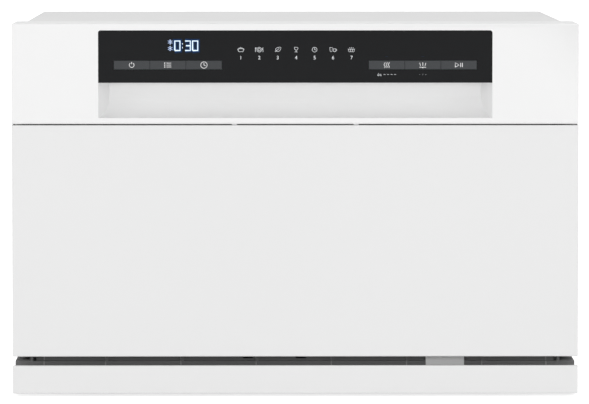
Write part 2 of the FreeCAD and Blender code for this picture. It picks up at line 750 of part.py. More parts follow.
def make_front_frame():
    """The moulded frame behind the door, flush with it, that slides into the casing."""
    body = new_body("front_frame")
    leg = C.frame_leg
    add(body, "XZ", FRAME_FRONT, FRAME_REAR, arch(HALF, C.height, C.frame_bottom, leg, leg))
    spigot_top = CASING_TOP - C.casing_sheet
    add(
        body,
        "XZ",
        FRAME_REAR,
        FRAME_REAR + C.frame_spigot,
        arch(CASING_INNER, spigot_top, C.base_rim, CASING_INNER - FRAME_INNER,
             spigot_top - FRAME_TOP_INNER, C.casing_bend - C.casing_sheet),
    )
    cut(
        body,
        "XZ",
        FRAME_FRONT,
        STRIKE_REAR,
        rect(-STRIKE_HALF, FRAME_TOP_INNER + 1.5, STRIKE_HALF, C.height - 1.5),
    )
    soften(body, 1.5, lambda e: (runs_along(e, "Y") and (at_level(e, "X", HALF) or at_level(e, "X", -HALF))
                                 and at_level(e, "Z", C.height)))
    return body


STRIKE_HALF = C.hook_half + 6
STRIKE_REAR = FRAME_FRONT + 25
STRIKE_FLOOR = FRAME_TOP_INNER + 1.5
BAR_Y = FRAME_FRONT + C.bar_setback
BAR_LEVEL = STRIKE_FLOOR + 0.3 + C.bar_radius
HOOK_UNDER = BAR_LEVEL + C.bar_radius + 0.5


def make_latch_strike():
    """The staple in the top of the frame that the latch hook catches."""
    body = new_body("latch_strike")
    for low, high in ((-STRIKE_HALF, -STRIKE_HALF + 2), (STRIKE_HALF - 2, STRIKE_HALF)):
        add(body, "YZ", low, high, rect(BAR_Y - 3, STRIKE_FLOOR, STRIKE_REAR, BAR_LEVEL + 3))
    plate = rect(-STRIKE_HALF, STRIKE_FLOOR, STRIKE_HALF, BAR_LEVEL + 3)
    add(body, "XZ", STRIKE_REAR - 1.5, STRIKE_REAR, plate)
    add(body, "YZ", -STRIKE_HALF, STRIKE_HALF, Circle(BAR_Y, BAR_LEVEL, C.bar_radius))
    return body


# Tub


def make_tub_wrapper():
    """The bent stainless sheet of the tub's sides and top, with the flange that the seal sits on."""
    body = new_body("tub_wrapper")
    thick = C.tub_sheet
    rear = C.tub_rear + thick
    add(
        body,
        "XZ",
        TUB_FRONT,
        rear,
        arch(TUB_OUTER, C.tub_top + thick, C.ledge_level, thick, thick, C.tub_corner + thick, C.tub_corner),
    )
    opening = [
        (-TUB_OUTER, C.ledge_level),
        (TUB_OUTER, C.ledge_level),
        (TUB_OUTER, C.tub_top + thick, C.tub_corner + thick),
        (-TUB_OUTER, C.tub_top + thick, C.tub_corner + thick),
    ]
    add(
        body,
        "XZ",
        TUB_FRONT,
        TUB_FRONT + thick,
        rect(-FRAME_INNER, C.base_rim, FRAME_INNER, FRAME_TOP_INNER),
        opening,
    )
    return body


def make_tub_back():
    """The rear wall of the tub with its pressed field."""
    body = new_body("tub_back")

    def plate(margin):
        return [
            (-C.tub_half + margin, C.ledge_level + margin),
            (C.tub_half - margin, C.ledge_level + margin),
            (C.tub_half - margin, C.tub_top - margin, C.tub_corner),
            (-C.tub_half + margin, C.tub_top - margin, C.tub_corner),
        ]

    add(body, "XZ", C.tub_rear, C.tub_rear + C.tub_sheet, plate(size(0)))
    add(body, "XZ", C.tub_rear + C.tub_sheet, C.tub_rear + 3, plate(size(36)))
    cut(body, "XZ", C.tub_rear, C.tub_rear + 3 - C.tub_sheet, plate(size(36) + C.tub_sheet))
    return body


def make_tub_floor():
    """The pressed floor of the tub: wheel ledges, a sunk middle and the ways to the sump and funnel."""
    body = new_body("tub_floor")
    thick = C.tub_sheet
    half = C.tub_half - C.ledge_width
    front = TUB_FRONT + C.end_ledge
    rear = C.tub_rear - C.end_ledge + 3
    ledge_under = C.ledge_level - thick
    sunk = rect(-half, front, half, rear, C.floor_corner)
    outside = rect(-half - thick, front - thick, half + thick, rear + thick, C.floor_corner + thick)
    ledge = rect(-TUB_OUTER, TUB_FRONT + thick, TUB_OUTER, C.tub_rear + thick)
    add(body, "XY", ledge_under, C.ledge_level, ledge)
    add(body, "XY", FLOOR_UNDER, ledge_under, outside)
    cut(body, "XY", C.floor_level, C.ledge_level, sunk)
    cut(body, "XY", FLOOR_UNDER, C.floor_level, Circle(C.sump_x, C.sump_y, C.sump_radius - C.sump_wall))
    cut(body, "XY", FLOOR_UNDER, C.floor_level, Circle(C.salt_x, C.salt_y, C.salt_radius - 4))
    cut(body, "XY", FLOOR_UNDER, C.floor_level, Circle(C.float_x, C.float_y, C.float_stem + 0.1))
    return body


def make_tub_seal():
    """The rubber seal round the tub opening that the inner door presses on."""
    body = new_body("tub_seal")
    near = C.seal_inset
    far = near + C.seal_width

    def ring(margin, radius):
        return rect(
            -C.tub_half - margin,
            C.ledge_level - margin,
            C.tub_half + margin,
            C.tub_top + margin,
            radius,
        )

    outlines = ring(far, C.tub_corner - 6), ring(near, C.tub_corner - 12)
    add(body, "XZ", TUB_FRONT - C.seal_thick, TUB_FRONT, *outlines)
    soften(body, 2.5, lambda e: at_level(e, "Y", TUB_FRONT - C.seal_thick), "Chamfer")
    return body


# Sump, filters, pumps and connections under the tub


def make_sump():
    """The bowl under the tub, with the riser pipe that the spray arm turns on."""
    body = new_body("sump")
    x, wall = C.sump_x, C.sump_wall
    top = FLOOR_UNDER
    outer, inner = x + C.sump_radius, x + C.sump_radius - wall
    low = C.sump_bottom
    turn(
        body,
        "Revolution",
        "XZ",
        C.sump_y,
        [(x, low), (outer - 14, low), (outer, low + 14), (outer, top - 3), (outer + 6, top - 3),
         (outer + 6, top), (inner, top), (inner, low + 14 + wall / 2), (inner - 13, low + wall),
         (x, low + wall)],
        x,
        size(0),
    )
    add(body, "XY", low + wall, C.riser_top, Circle(C.spray_x, C.spray_y, C.riser_radius))
    add(body, "XY", top, HUB_LOW - C.rolling_gap, Circle(C.spray_x, C.spray_y, C.riser_radius + 4))
    cut(body, "XY", low + wall + 12, C.riser_top, Circle(C.spray_x, C.spray_y, C.riser_radius - 3))
    add(body, "YZ", x - C.sump_radius - 16, x - C.sump_radius + 1.5, Circle(C.sump_y, PUMP_LEVEL, 12))
    add(body, "YZ", x + C.sump_radius - 1.5, x + C.sump_radius + 8, Circle(C.sump_y, PUMP_LEVEL, 10))
    add(body, "XZ", C.sump_y + C.sump_radius - 6, C.sump_y + C.sump_radius + 8, Circle(x, PUMP_LEVEL - 4, 9))
    return body


HUB_LOW = C.spray_level - 4
PUMP_LEVEL = C.sump_bottom + 21
PLATE_TOP = C.floor_level + C.plate_thick


def make_filter_plate():
    """The flat filter that covers the sump, with its field of small holes."""
    body = new_body("filter_plate")
    hole = C.filter_radius + 0.3
    add(
        body,
        "XY",
        C.floor_level,
        PLATE_TOP,
        Circle(C.sump_x, C.sump_y, C.sump_radius - C.sump_wall + C.plate_lap),
        Circle(C.filter_x, C.filter_y, hole),
        Circle(C.spray_x, C.spray_y, C.riser_radius + 4.3),
    )
    slot = cut(body, "XY", C.floor_level, PLATE_TOP, rect(-18, -72, -16, -40))
    repeat(body, slot, "X", 9, 56)
    slot = cut(body, "XY", C.floor_level, PLATE_TOP, rect(28, 24, 30, 58))
    repeat(body, slot, "X", 9, 56)
    return body


def make_micro_filter():
    """The cylinder filter that twists out of the flat filter."""
    body = new_body("micro_filter")
    x, y, outer = C.filter_x, C.filter_y, C.filter_radius
    low = C.sump_bottom + 15.5
    flange = PLATE_TOP + C.rolling_gap
    add(body, "XY", low, flange + 2, Circle(x, y, outer), Circle(x, y, outer - C.filter_wall))
    add(body, "XY", flange, flange + 2, Circle(x, y, outer + 4), Circle(x, y, outer - C.filter_wall))
    add(body, "XY", low, low + 1.5, Circle(x, y, outer))
    cut(body, "XZ", y - outer - 1, y + outer + 1, rect(x - 20, low + 6, x + 20, flange - 5))
    cut(body, "YZ", x - outer - 1, x + outer + 1, rect(y - 20, low + 6, y + 20, flange - 5))
    add(body, "XZ", y - 1.25, y + 1.25, rect(x - outer + 1, flange - 4, x + outer - 1, flange + 6, size(2)))
    return body


def make_spray_arm():
    """The lower spray arm: a long tapered blade with a hub and slanted jets."""
    body = new_body("spray_arm")
    x, y, reach = C.spray_x, C.spray_y, C.spray_reach
    root, tip = size(24), size(13)
    low, high = C.spray_level, C.spray_level + C.spray_thick
    add(
        body,
        "XY",
        low,
        high,
        [(x - reach, y - tip, size(8)), (x, y - root, size(120)), (x + reach, y - tip, size(8)),
         (x + reach, y + tip, size(8)), (x, y + root, size(120)), (x - reach, y + tip, size(8))],
    )
    add(body, "XY", HUB_LOW, C.riser_top + 4, Circle(x, y, C.hub_radius))
    cut(body, "XY", HUB_LOW, C.riser_top + C.rolling_gap, Circle(x, y, C.riser_radius + C.riser_fit))
    jets = []
    for place, side in ((150, 3), (118, -4), (86, 5), (52, -6), (-150, -3), (-118, 4), (-86, -5), (-52, 6)):
        jets.append(
            cut(body, "XY", high - 2, high, rect(x + place - 5, y + side - 1, x + place + 5, y + side + 1))
        )
    soften(body, 3, lambda e: at_level(e, "Z", high) and e.BoundBox.DiagonalLength > 25
           and abs(e.BoundBox.Center.x - x.value) + abs(e.BoundBox.Center.y - y.value) > 5, "Chamfer")
    return body


def make_softener():
    """The salt tank under the tub, with its funnel up through the tub floor."""
    body = new_body("softener")
    x, y = C.salt_x, C.salt_y
    neck = C.salt_radius - 4
    add(body, "XY", BASE_FLOOR, FLOOR_UNDER, rect(x - 54, y - 20, x + 44, y + 100, size(10)))
    add(body, "XY", FLOOR_UNDER, C.floor_level + 3, Circle(x, y, neck - 0.3))
    add(body, "XY", C.floor_level, C.floor_level + 3, Circle(x, y, neck + 3))
    cut(body, "XY", C.floor_level - 22, C.floor_level + 3, Circle(x, y, neck - 4))
    return body


def make_salt_cap():
    """The screw cap of the salt funnel."""
    body = new_body("salt_cap")
    x, y = C.salt_x, C.salt_y
    low = C.floor_level + 3 + C.rolling_gap
    add(body, "XY", low, low + 6, Circle(x, y, C.salt_radius))
    add(body, "XY", low - 12, low, Circle(x, y, C.salt_radius - 9))
    add(body, "XY", low + 6, low + 14, rect(x - 18, y - 2.5, x + 18, y + 2.5, size(2.4)))
    across = 2 * C.salt_radius.value - 1
    soften(body, 1.5, lambda e: at_level(e, "Z", low + 6) and e.BoundBox.XLength > across, "Chamfer")
    return body


def make_float():
    """The overflow float in the rear corner of the tub."""
    body = new_body("float")
    x, y = C.float_x, C.float_y
    low = C.floor_level + C.rolling_gap
    foot = low - C.float_rise - 22
    turn(
        body,
        "Revolution",
        "XZ",
        y,
        [(x, foot), (x + C.float_stem, foot), (x + C.float_stem, low), (x + C.float_radius, low),
         (x + C.float_radius, low + 10), (x + C.float_radius - 4, low + 15), (x, low + 15)],
        x,
        size(0),
    )
    return body


def make_wash_pump():
    """The circulation pump: a volute on the sump and its motor, on two saddles."""
    body = new_body("wash_pump")
    y, z = C.sump_y, PUMP_LEVEL - 10
    face = C.sump_x - C.sump_radius - 16
    add(body, "YZ", face - 26, face, Circle(y, z, 31))
    add(body, "YZ", face - 110, face - 26, Circle(y, z, 27))
    add(body, "YZ", face - 122, face - 110, Circle(y, z, 14))
    add(body, "XY", z, z + 8, rect(face - 20, y + 20, face - 4, y + 48))
    for x in (face - 20, face - 100):
        add(body, "YZ", x, x + 8, rect(y - 20, BASE_FLOOR, y + 20, z))
    soften(body, 4, lambda e: at_level(e, "X", face - 110) and e.BoundBox.YLength > 50, "Chamfer")
    return body


def make_drain_pump():
    """The small drain pump on the other side of the sump, with its outlet spout."""
    body = new_body("drain_pump")
    y, z = C.sump_y, PUMP_LEVEL - 8
    face = C.sump_x + C.sump_radius + 8
    add(body, "YZ", face, face + 20, Circle(y, z, 24))
    add(body, "YZ", face + 20, face + 58, Circle(y, z, 19))
    add(body, "YZ", face + 4, face + 12, rect(y - 14, BASE_FLOOR, y + 14, z))
    add(body, "YZ", face + 44, face + 52, rect(y - 14, BASE_FLOOR, y + 14, z))
    add(body, "XZ", y + 18, y + 36, Circle(face + 10, DRAIN_LEVEL, C.hose_radius))
    return body


DRAIN_LEVEL = PUMP_LEVEL - 8
DRAIN_X = C.sump_x + C.sump_radius + 18
HEATER_Y = size(104.0)


def make_flow_heater():
    """The tubular water heater between the pump and the riser."""
    body = new_body("flow_heater")
    x_low = C.sump_x - C.sump_radius - 116
    add(body, "YZ", x_low, x_low + 96, Circle(HEATER_Y, PUMP_LEVEL - 10, 18))
    add(body, "YZ", x_low + 96, x_low + 108, Circle(HEATER_Y, PUMP_LEVEL - 10, C.hose_radius))
    for x in (x_low + 10, x_low + 76):
        add(body, "YZ", x, x + 6, rect(HEATER_Y - 13, BASE_FLOOR, HEATER_Y + 13, PUMP_LEVEL - 10))
    soften(body, 3, lambda e: at_level(e, "X", x_low), "Chamfer")
    return body


def make_air_break():
    """The flat moulded tank beside the tub that feeds water in and keeps it from running back."""
    body = new_body("air_break")
    outer, inner = -CASING_INNER + 4, -TUB_OUTER
    outline = rect(-30, 110, 150, 310, size(16))
    add(body, "YZ", outer, inner, outline)
    for low, high in ((-10, 40), (56, 84), (100, 132)):
        cut(body, "YZ", outer, outer + 6, rect(low, 130, high, 290, size(8)))
    middle = (outer + inner) / 2
    add(body, "YZ", middle - C.hose_radius, middle + C.hose_radius, rect(13, 98, 27, 110))
    return body


def make_inlet_valve():
    """The water valve inside the rear wall with its threaded connection outside."""
    body = new_body("inlet_valve")
    x, z, radius = C.inlet_x, C.service_level, C.inlet_radius
    wall = BACK_INNER - C.base_wall
    end = C.depth / 2
    add(body, "XZ", wall - 30, wall, rect(x - 20, z - 20, x + 20, z + 20, size(5)))
    add(body, "XZ", wall - 52, wall - 30, Circle(x, z, 13))
    add(body, "XZ", wall, BACK, Circle(x, z, radius - C.neck_step))
    add(body, "XZ", BACK, end, Circle(x, z, radius))
    cut(body, "XZ", wall - 8, end, Circle(x, z, radius - 3.7))
    return body


def make_drain_outlet():
    """The drain spout through the rear wall."""
    body = new_body("drain_outlet")
    x, z, radius = C.outlet_x, C.service_level, C.outlet_radius
    wall = BACK_INNER - C.base_wall
    end = C.depth / 2
    add(body, "XZ", wall - 24, BACK, Circle(x, z, radius - C.neck_step))
    add(body, "XZ", BACK, end, Circle(x, z, radius))
    add(body, "XZ", wall - 4, wall, Circle(x, z, radius + 6))
    cut(body, "XZ", wall, end, Circle(x, z, radius - 2))
    return body


def make_cord_gland():
    """The bush in the rear wall that the power cord would pass through."""
    body = new_body("cord_gland")
    x, z, radius = C.cord_x, C.service_level, C.gland_radius
    wall = BACK_INNER - C.base_wall
    add(body, "XZ", wall, BACK + 8, Circle(x, z, radius), Circle(x, z, C.cord_radius))
    add(body, "XZ", BACK, BACK + 4, Circle(x, z, radius + 5), Circle(x, z, radius - 1))
    add(body, "XZ", wall - 4, wall, Circle(x, z, radius + 4), Circle(x, z, C.cord_radius))
    across = 2 * radius.value - 1
    soften(body, 1.5, lambda e: at_level(e, "Y", BACK + 8) and e.BoundBox.XLength > across, "Chamfer")
    return body


def tube_along(points, radius, bend, sides=6):
    """A tube of a few flat sides through straight runs joined by tangent arcs of one radius."""
    spots = [Vector(*(size(v).value for v in p)) for p in points]
    edges = []
    start = spots[0]
    for before, corner, after in zip(spots, spots[1:], spots[2:]):
        back = (before - corner).normalize()
        ahead = (after - corner).normalize()
        half = math.acos(max(-1.0, min(1.0, back.dot(ahead)))) / 2
        reach = bend / math.tan(half)
        middle = corner + (back + ahead).normalize() * (bend / math.sin(half) - bend)
        first, last = corner + back * reach, corner + ahead * reach
        edges.append(Part.LineSegment(start, first).toShape())
        edges.append(Part.Arc(first, middle, last).toShape())
        start = last
    edges.append(Part.LineSegment(start, spots[-1]).toShape())
    path = Part.Wire(edges)
    along = edges[0].tangentAt(edges[0].FirstParameter)
    across = along.cross(Vector(1, 0, 0) if abs(along.x) < 0.9 else Vector(0, 0, 1)).normalize()
    up = along.cross(across)
    turns = [2 * math.pi * step / sides for step in range(sides + 1)]
    ring = [spots[0] + across * (radius * math.cos(turn)) + up * (radius * math.sin(turn)) for turn in turns]
    return path.makePipeShell([Part.makePolygon(ring)], True, False)


def make_water_hoses():
    """The hoses between the pumps, the heater, the tank, the valve and the drain spout."""
    radius = C.hose_radius.value
    bend = 2.2 * radius
    wall = BACK_INNER - C.base_wall
    pump_z = PUMP_LEVEL - 10
    heater_x = C.sump_x - C.sump_radius - 8
    tank_x = (-CASING_INNER + 4 - TUB_OUTER) / 2
    routes = [
        [(DRAIN_X, C.sump_y + 36, DRAIN_LEVEL), (DRAIN_X, 160, DRAIN_LEVEL), (-70, 195, 28),
         (C.outlet_x, 175, C.service_level), (C.outlet_x, wall - 24, C.service_level)],
        [(heater_x, HEATER_Y, pump_z), (heater_x + 30, HEATER_Y, pump_z),
         (C.sump_x - 30, HEATER_Y, PUMP_LEVEL - 4), (C.sump_x, HEATER_Y, PUMP_LEVEL - 4),
         (C.sump_x, C.sump_y + C.sump_radius + 8, PUMP_LEVEL - 4)],
        [(C.inlet_x, wall - 52, C.service_level), (C.inlet_x, 140, C.service_level),
         (tank_x, 120, C.service_level), (tank_x, 20, C.service_level + 6), (tank_x, 20, 98)],
    ]
    tubes = [tube_along(route, radius, bend) for route in routes]
    return new_solid("water_hoses", Part.makeCompound(tubes))


def spring_wire():
    """The right door spring: a straight hook to the hinge arm, then the closed shape of its coil."""
    wire = 1.1
    coil = 4.7
    x, level = SPRING_X.value, SPRING_LEVEL.value
    start, end = SPRING_START.value, SPRING_END.value
    body = Part.makeCylinder(coil, end - start - 3, Vector(x, start, level), Vector(0, 1, 0))
    eye = Part.makeCylinder(wire, 3, Vector(x, end - 3, level), Vector(0, 1, 0))
    hook_end = (x, LUG_Y.value + 3.2, LUG_LEVEL.value - 0.6)
    link = tube_along([(x, start + 1, level), (x, start - 6, level), hook_end], wire, 3)
    return body.fuse([eye, link])


def make_door_springs():
    """The springs that balance the door, one at each side of the base."""
    right = spring_wire()
    return new_solid("door_springs", Part.makeCompound([right, right.mirror(Vector(), Vector(1, 0, 0))]))


LUG_Y = HINGE_Y + 12
LUG_LEVEL = C.hinge_height - 9


def make_hinge_brackets():
    """The steel plates beside the base that carry the door, each with its pivot hole."""
    body = new_body("hinge_brackets")
    y, z = HINGE_Y, C.hinge_height
    plate = add(
        body,
        "YZ",
        C.nose_half,
        C.nose_half + 2.5,
        [(y - 9, z - 8, size(6)), (y + 14, z - 9), (NOSE_FRONT, C.step_level), (FRAME_REAR - 4, C.step_level),
         (FRAME_REAR - 4, C.base_rim - 4), (NOSE_FRONT, C.base_rim - 4), (y + 3, z + 9),
         (y - 9, z + 9, size(6))],
    )
    hole = cut(body, "YZ", C.nose_half - 1, C.nose_half + 3.5, Circle(y, z, HINGE_PIN + 0.05))
    reflect(body, [plate, hole], "YZ")
    return body


HINGE_PIN = size(4.0)


def make_hinge_arms():
    """The steel arms on the sides of the inner door, with the pins that the door turns on."""
    body = new_body("hinge_arms")
    y, z = HINGE_Y, C.hinge_height
    near = C.inner_half
    arm = add(
        body,
        "YZ",
        near,
        near + 2.5,
        [(y - 12, z + 12), (y - 9, z - 8, size(4)), (LUG_Y - 2.5, LUG_LEVEL - 2.5, size(2)),
         (LUG_Y + 2.5, LUG_LEVEL + 1, size(2)), (INNER_FOOT, z + 6), (DOOR_REAR - 3, z + 24),
         (DOOR_REAR - 3, z + 97), (INNER_FOOT - 2, z + 97), (y + 6, z + 30)],
    )
    pin = add(body, "YZ", C.nose_half - 2, near, Circle(y, z, HINGE_PIN))
    reflect(body, [arm, pin], "YZ")
    return body


# Door


def make_door_outer_panel():
    """The painted front sheet of the door, folded in on all four sides."""
    body = new_body("door_outer_panel")
    thick = C.door_sheet
    inside = HALF - thick
    add(body, "XZ", FRONT, DOOR_REAR, rect(-HALF, DOOR_LOW, HALF, DOOR_HIGH))
    cut(body, "XZ", FRONT + thick, DOOR_REAR, rect(-inside, DOOR_LOW + thick, inside, DOOR_HIGH - thick))
    cut(body, "XZ", FRONT + C.door_return, DOOR_REAR, rect(-inside, DOOR_LOW, inside, DOOR_HIGH))
    cut(
        body,
        "YZ",
        -HALF,
        HALF,
        [(DOOR_REAR, DOOR_LOW), (DOOR_REAR, DOOR_LOW + C.door_notch), (DOOR_REAR - C.door_notch, DOOR_LOW)],
    )
    soften(body, C.door_corner, lambda e: at_level(e, "Y", FRONT))
    return body


def make_door_inner_panel():
    """The stainless inner door with turned edges, a pressed field, wheel runners and side tabs."""
    body = new_body("door_inner_panel")
    thick = C.inner_sheet
    half, low, high = C.inner_half, C.inner_bottom, C.inner_top
    add(body, "XZ", INNER_FOOT, INNER_REAR, rect(-half, low, half, high))
    pan = rect(-half + thick, low + thick, half - thick, high - thick)
    cut(body, "XZ", INNER_FOOT, INNER_REAR - thick, pan)
    side, foot, head = half - C.field_margin, low + C.field_margin / 1.3, high - C.field_margin / 2
    field = rect(-side, foot, side, head, size(14))
    hollow = rect(-side + thick, foot + thick, side - thick, head - thick, size(14) - thick)
    add(body, "XZ", INNER_REAR - thick, FIELD_FACE, field)
    cut(body, "XZ", INNER_REAR - thick, FIELD_FACE - thick, hollow)
    mouth = rect(C.dispenser_left, C.dispenser_bottom, C.dispenser_right, C.dispenser_top)
    cut(body, "XZ", INNER_FOOT, FIELD_FACE, mouth)
    x = WHEEL_START + C.wheel_width / 2
    side = C.runner_width / 2
    runner_low = C.ledge_level + 4
    runner = add(
        body,
        "XZ",
        INNER_REAR,
        INNER_REAR + C.runner_height,
        rect(x - side, runner_low, x + side, high - 26, size(5)),
    )
    stop = add(
        body,
        "XZ",
        INNER_REAR,
        INNER_REAR + C.runner_height,
        rect(x - side, low + 1, x + side, low + 12, size(2)),
    )
    tabs = []
    for start, end, reach in ((160, 255, HALF - C.door_sheet), (275, 338, HALF - C.panel_wall)):
        tabs.append(add(body, "XZ", INNER_FOOT, INNER_FOOT + thick, rect(half - thick, start, reach, end)))
    reflect(body, [runner, stop] + tabs, "YZ")
    return body


def make_door_screws():
    """The screws that hold the inner door to the sheet and the control panel."""
    body = new_body("door_screws")
    heads = []
    for x, z in ((268, 178), (268, 237), (265, 290), (265, 323)):
        heads.append(add(body, "XZ", INNER_FOOT + C.inner_sheet, INNER_FOOT + 3, hexagon(x, z, C.screw_head)))
    reflect(body, heads, "YZ")
    return body


def bank_keys(bank):
    """The middles of the three keys of one bank."""
    return [bank + C.key_pitch * step for step in (-1, 0, 1)]


def bank_hole(bank):
    """The opening of one bank of keys in the window and the panel."""
    half = C.key_pitch * 1.5 + C.key_gap / 2
    tall = C.key_height / 2 + C.key_gap
    return rect(bank - half, C.key_level - tall, bank + half, C.key_level + tall)


def window_outline(grow):
    """The black window seen from the front, with its two rounded upper corners."""
    return [
        (-C.window_half - grow, C.window_bottom),
        (C.window_half + grow, C.window_bottom),
        (C.window_half + grow, C.window_top + grow, C.window_corner),
        (-C.window_half - grow, C.window_top + grow, C.window_corner),
    ]


def scoop(low, shell):
    """The grip pocket seen from the side, grown by a shell: a swept floor under the window."""
    front = PANEL_INNER if shell.value else FRONT
    rear = GRIP_REAR + shell
    return [
        (front, low - shell),
        (rear, low - shell, C.grip_sweep + shell),
        (rear, GRIP_ROOF + shell),
        (PANEL_INNER, GRIP_ROOF + shell),
    ] + ([] if shell.value else [(PANEL_INNER, C.window_bottom), (FRONT, C.window_bottom)])


def make_control_panel():
    """The moulded upper front of the door: a shell with the window recess and the scooped grip pocket."""
    body = new_body("control_panel")
    wall = C.panel_wall
    inside = HALF - wall
    end_low = C.window_half - C.grip_draft
    add(body, "XZ", FRONT, DOOR_REAR, rect(-HALF, PANEL_LOW, HALF, C.height))
    soften(body, C.panel_corner, lambda e: at_level(e, "Y", FRONT)
           or (runs_along(e, "Y") and at_level(e, "Z", C.height)))
    cut(body, "XZ", PANEL_INNER, DOOR_REAR, rect(-inside, PANEL_LOW + wall, inside, C.height - wall))
    cut(body, "XZ", INNER_FOOT - 1, DOOR_REAR, rect(-inside, PANEL_LOW, inside, PANEL_LOW + wall))
    add(body, "YZ", -C.window_half - wall, C.window_half + wall, scoop(C.grip_bottom, wall))
    cut(body, "YZ", -end_low, end_low, scoop(C.grip_bottom, size(0)))
    cut_grip_ends(body, end_low)
    cut(body, "XZ", FRONT, FRONT + C.window_thick + C.window_sink, window_outline(size(0)))
    for bank in (-C.key_bank, C.key_bank):
        cut(body, "XZ", FRONT, PANEL_INNER, bank_hole(bank))
    spacer = add(
        body,
        "XZ",
        FRONT + 1.5,
        FRONT + C.door_return,
        rect(C.spacer_place - C.spacer_width / 2, DOOR_HIGH, C.spacer_place + C.spacer_width / 2, PANEL_LOW),
    )
    posts = [add(body, "XZ", PANEL_INNER, BOARD_FRONT, Circle(x, z, 3)) for x, z in BOARD_POSTS]
    reflect(body, [spacer] + posts, "YZ")
    return body


BOARD_POSTS = [(C.board_half - 6, BOARD_LOW + C.board_height - 6), (size(76), BOARD_LOW + C.board_height - 6)]


def cut_grip_ends(body, end_low):
    """Widens the mouth of the grip to the window's width with drafted ends."""
    front = new_sketch(
        body, "XZ", FRONT, [rect(-C.window_half, C.grip_bottom, C.window_half, C.window_bottom)]
    )
    rear = new_sketch(
        body, "XZ", GRIP_REAR - 3, [rect(-end_low, C.grip_bottom + 20, end_low, C.window_bottom)]
    )
    made = body.newObject("PartDesign::SubtractiveLoft", "control_panel_grip_ends")
    made.Profile = (front, [""])
    made.Sections = [(rear, [""])]
    made.Ruled = True
    return made


def make_display_window():
    """The black window with its openings for the two banks of keys."""
    body = new_body("display_window")
    front = FRONT + C.window_sink
    add(
        body,
        "XZ",
        front,
        front + C.window_thick,
        window_outline(size(0)),
        bank_hole(-C.key_bank),
        bank_hole(C.key_bank),
    )
    return body


KEY_NAMES = {
    "left": ["power_key", "programme_key", "delay_key"],
    "right": ["dry_key", "wash_key", "start_key"],
}


def make_keys():
    """The six push keys, three in each bank, each with its stem."""
    for side, bank in (("left", -C.key_bank), ("right", C.key_bank)):
        for label, x in zip(KEY_NAMES[side], bank_keys(bank)):
            body = new_body(label)
            half = C.key_pitch / 2 - C.key_gap / 2
            tall = C.key_height / 2
            rear = FRONT + C.key_thick
            add(body, "XZ", FRONT, rear, rect(x - half, C.key_level - tall, x + half, C.key_level + tall))
            stem_end = BOARD_FRONT - C.switch_height - C.key_travel - 0.4
            add(body, "XZ", rear, stem_end, Circle(x, C.key_level, C.stem_radius))
            soften(body, 0.3, lambda e: at_level(e, "Y", FRONT), "Chamfer")


def make_control_board():
    """The circuit board behind the window, with its display block, lamp row and key switches."""
    body = new_body("control_board")
    rear = BOARD_FRONT + C.board_thick
    half = C.board_half
    add(body, "XZ", BOARD_FRONT, rear, rect(-half, BOARD_LOW, half, BOARD_LOW + C.board_height))
    lens = PANEL_INNER + 0.3
    add(body, "XZ", lens, BOARD_FRONT, rect(-132, 334, -90, 347))
    add(body, "XZ", lens, BOARD_FRONT, rect(-60, 331, 62, 345))
    for bank in (-C.key_bank, C.key_bank):
        for x in bank_keys(bank):
            switch = rect(x - 3, C.key_level - 3, x + 3, C.key_level + 3)
            add(body, "XZ", BOARD_FRONT - C.switch_height, BOARD_FRONT, switch)
    add(body, "XZ", rear, rear + 9, rect(-40, BOARD_LOW + 4, -10, BOARD_LOW + 24))
    add(body, "XZ", rear, rear + 14, rect(60, BOARD_LOW + 4, 84, BOARD_LOW + 28))
    return body


LATCH_TOP = C.height - C.panel_wall
LATCH_LOW = C.inner_top + 1.5
LATCH_REAR = DOOR_REAR - 3
HOOK_PIVOT_Y = LATCH_REAR - 18
HOOK_LEVEL = HOOK_UNDER + C.hook_thick / 2


def make_latch_housing():
    """The moulded case of the door latch, open to the rear for its hook."""
    body = new_body("latch_housing")
    wall = C.latch_wall
    gap = C.hook_half + 1
    front = LATCH_REAR - C.latch_depth
    add(body, "XZ", front, LATCH_REAR, rect(-C.latch_half, LATCH_LOW, C.latch_half, LATCH_TOP))
    cut(body, "XZ", front + wall, LATCH_REAR, rect(-gap, LATCH_LOW + wall, gap, LATCH_TOP))
    cut(body, "YZ", -gap - 4, gap + 4, Circle(HOOK_PIVOT_Y, HOOK_LEVEL, C.pin_radius + 0.05))
    return body


def make_latch_hook():
    """The sprung hook that catches the strike, on its two trunnions."""
    body = new_body("latch_hook")
    half = C.hook_half
    tip = DOOR_REAR + C.hook_reach
    under, over = HOOK_UNDER, HOOK_UNDER + C.hook_thick
    heel = HOOK_PIVOT_Y - 4.2
    add(
        body,
        "YZ",
        -half,
        half,
        [(heel, under, size(1.2)), (tip - 3, under), (tip - 2.4, under - C.hook_lip),
         (tip, under - C.hook_lip + 0.4), (tip, under + 1.4), (tip - 6, over), (heel, over, size(1.2))],
    )
    add(body, "YZ", -half - 4, half + 4, Circle(HOOK_PIVOT_Y, HOOK_LEVEL, C.pin_radius))
    return body


def make_dispenser_body():
    """The detergent dispenser let into the inner door, with its cup and rinse aid port."""
    body = new_body("dispenser_body")
    lap = C.dispenser_flange
    face = FIELD_FACE + C.flange_thick
    low, high = C.dispenser_bottom, C.dispenser_top
    left, right = C.dispenser_left, C.dispenser_right
    box = rect(left + 0.3, low + 0.3, right - 0.3, high - 0.3)
    add(body, "XZ", face - C.dispenser_depth, FIELD_FACE, box)
    add(body, "XZ", FIELD_FACE, face, rect(left - lap, low - lap, right + lap, high + lap, size(6)))
    cup = rect(C.cup_left, C.cup_bottom, C.cup_left + C.cup_width, C.cup_bottom + C.cup_height, size(8))
    cut(body, "XZ", face - C.cup_depth, face, cup)
    cut(body, "XZ", face - 20, face, Circle(C.cap_x, C.cap_level, C.cap_radius - 4))
    rail = C.cup_bottom - C.lid_lap - 0.3
    add(body, "XZ", face, face + 1.2, rect(left, rail - 3.2, C.cup_left + C.cup_width + 6, rail))
    return body


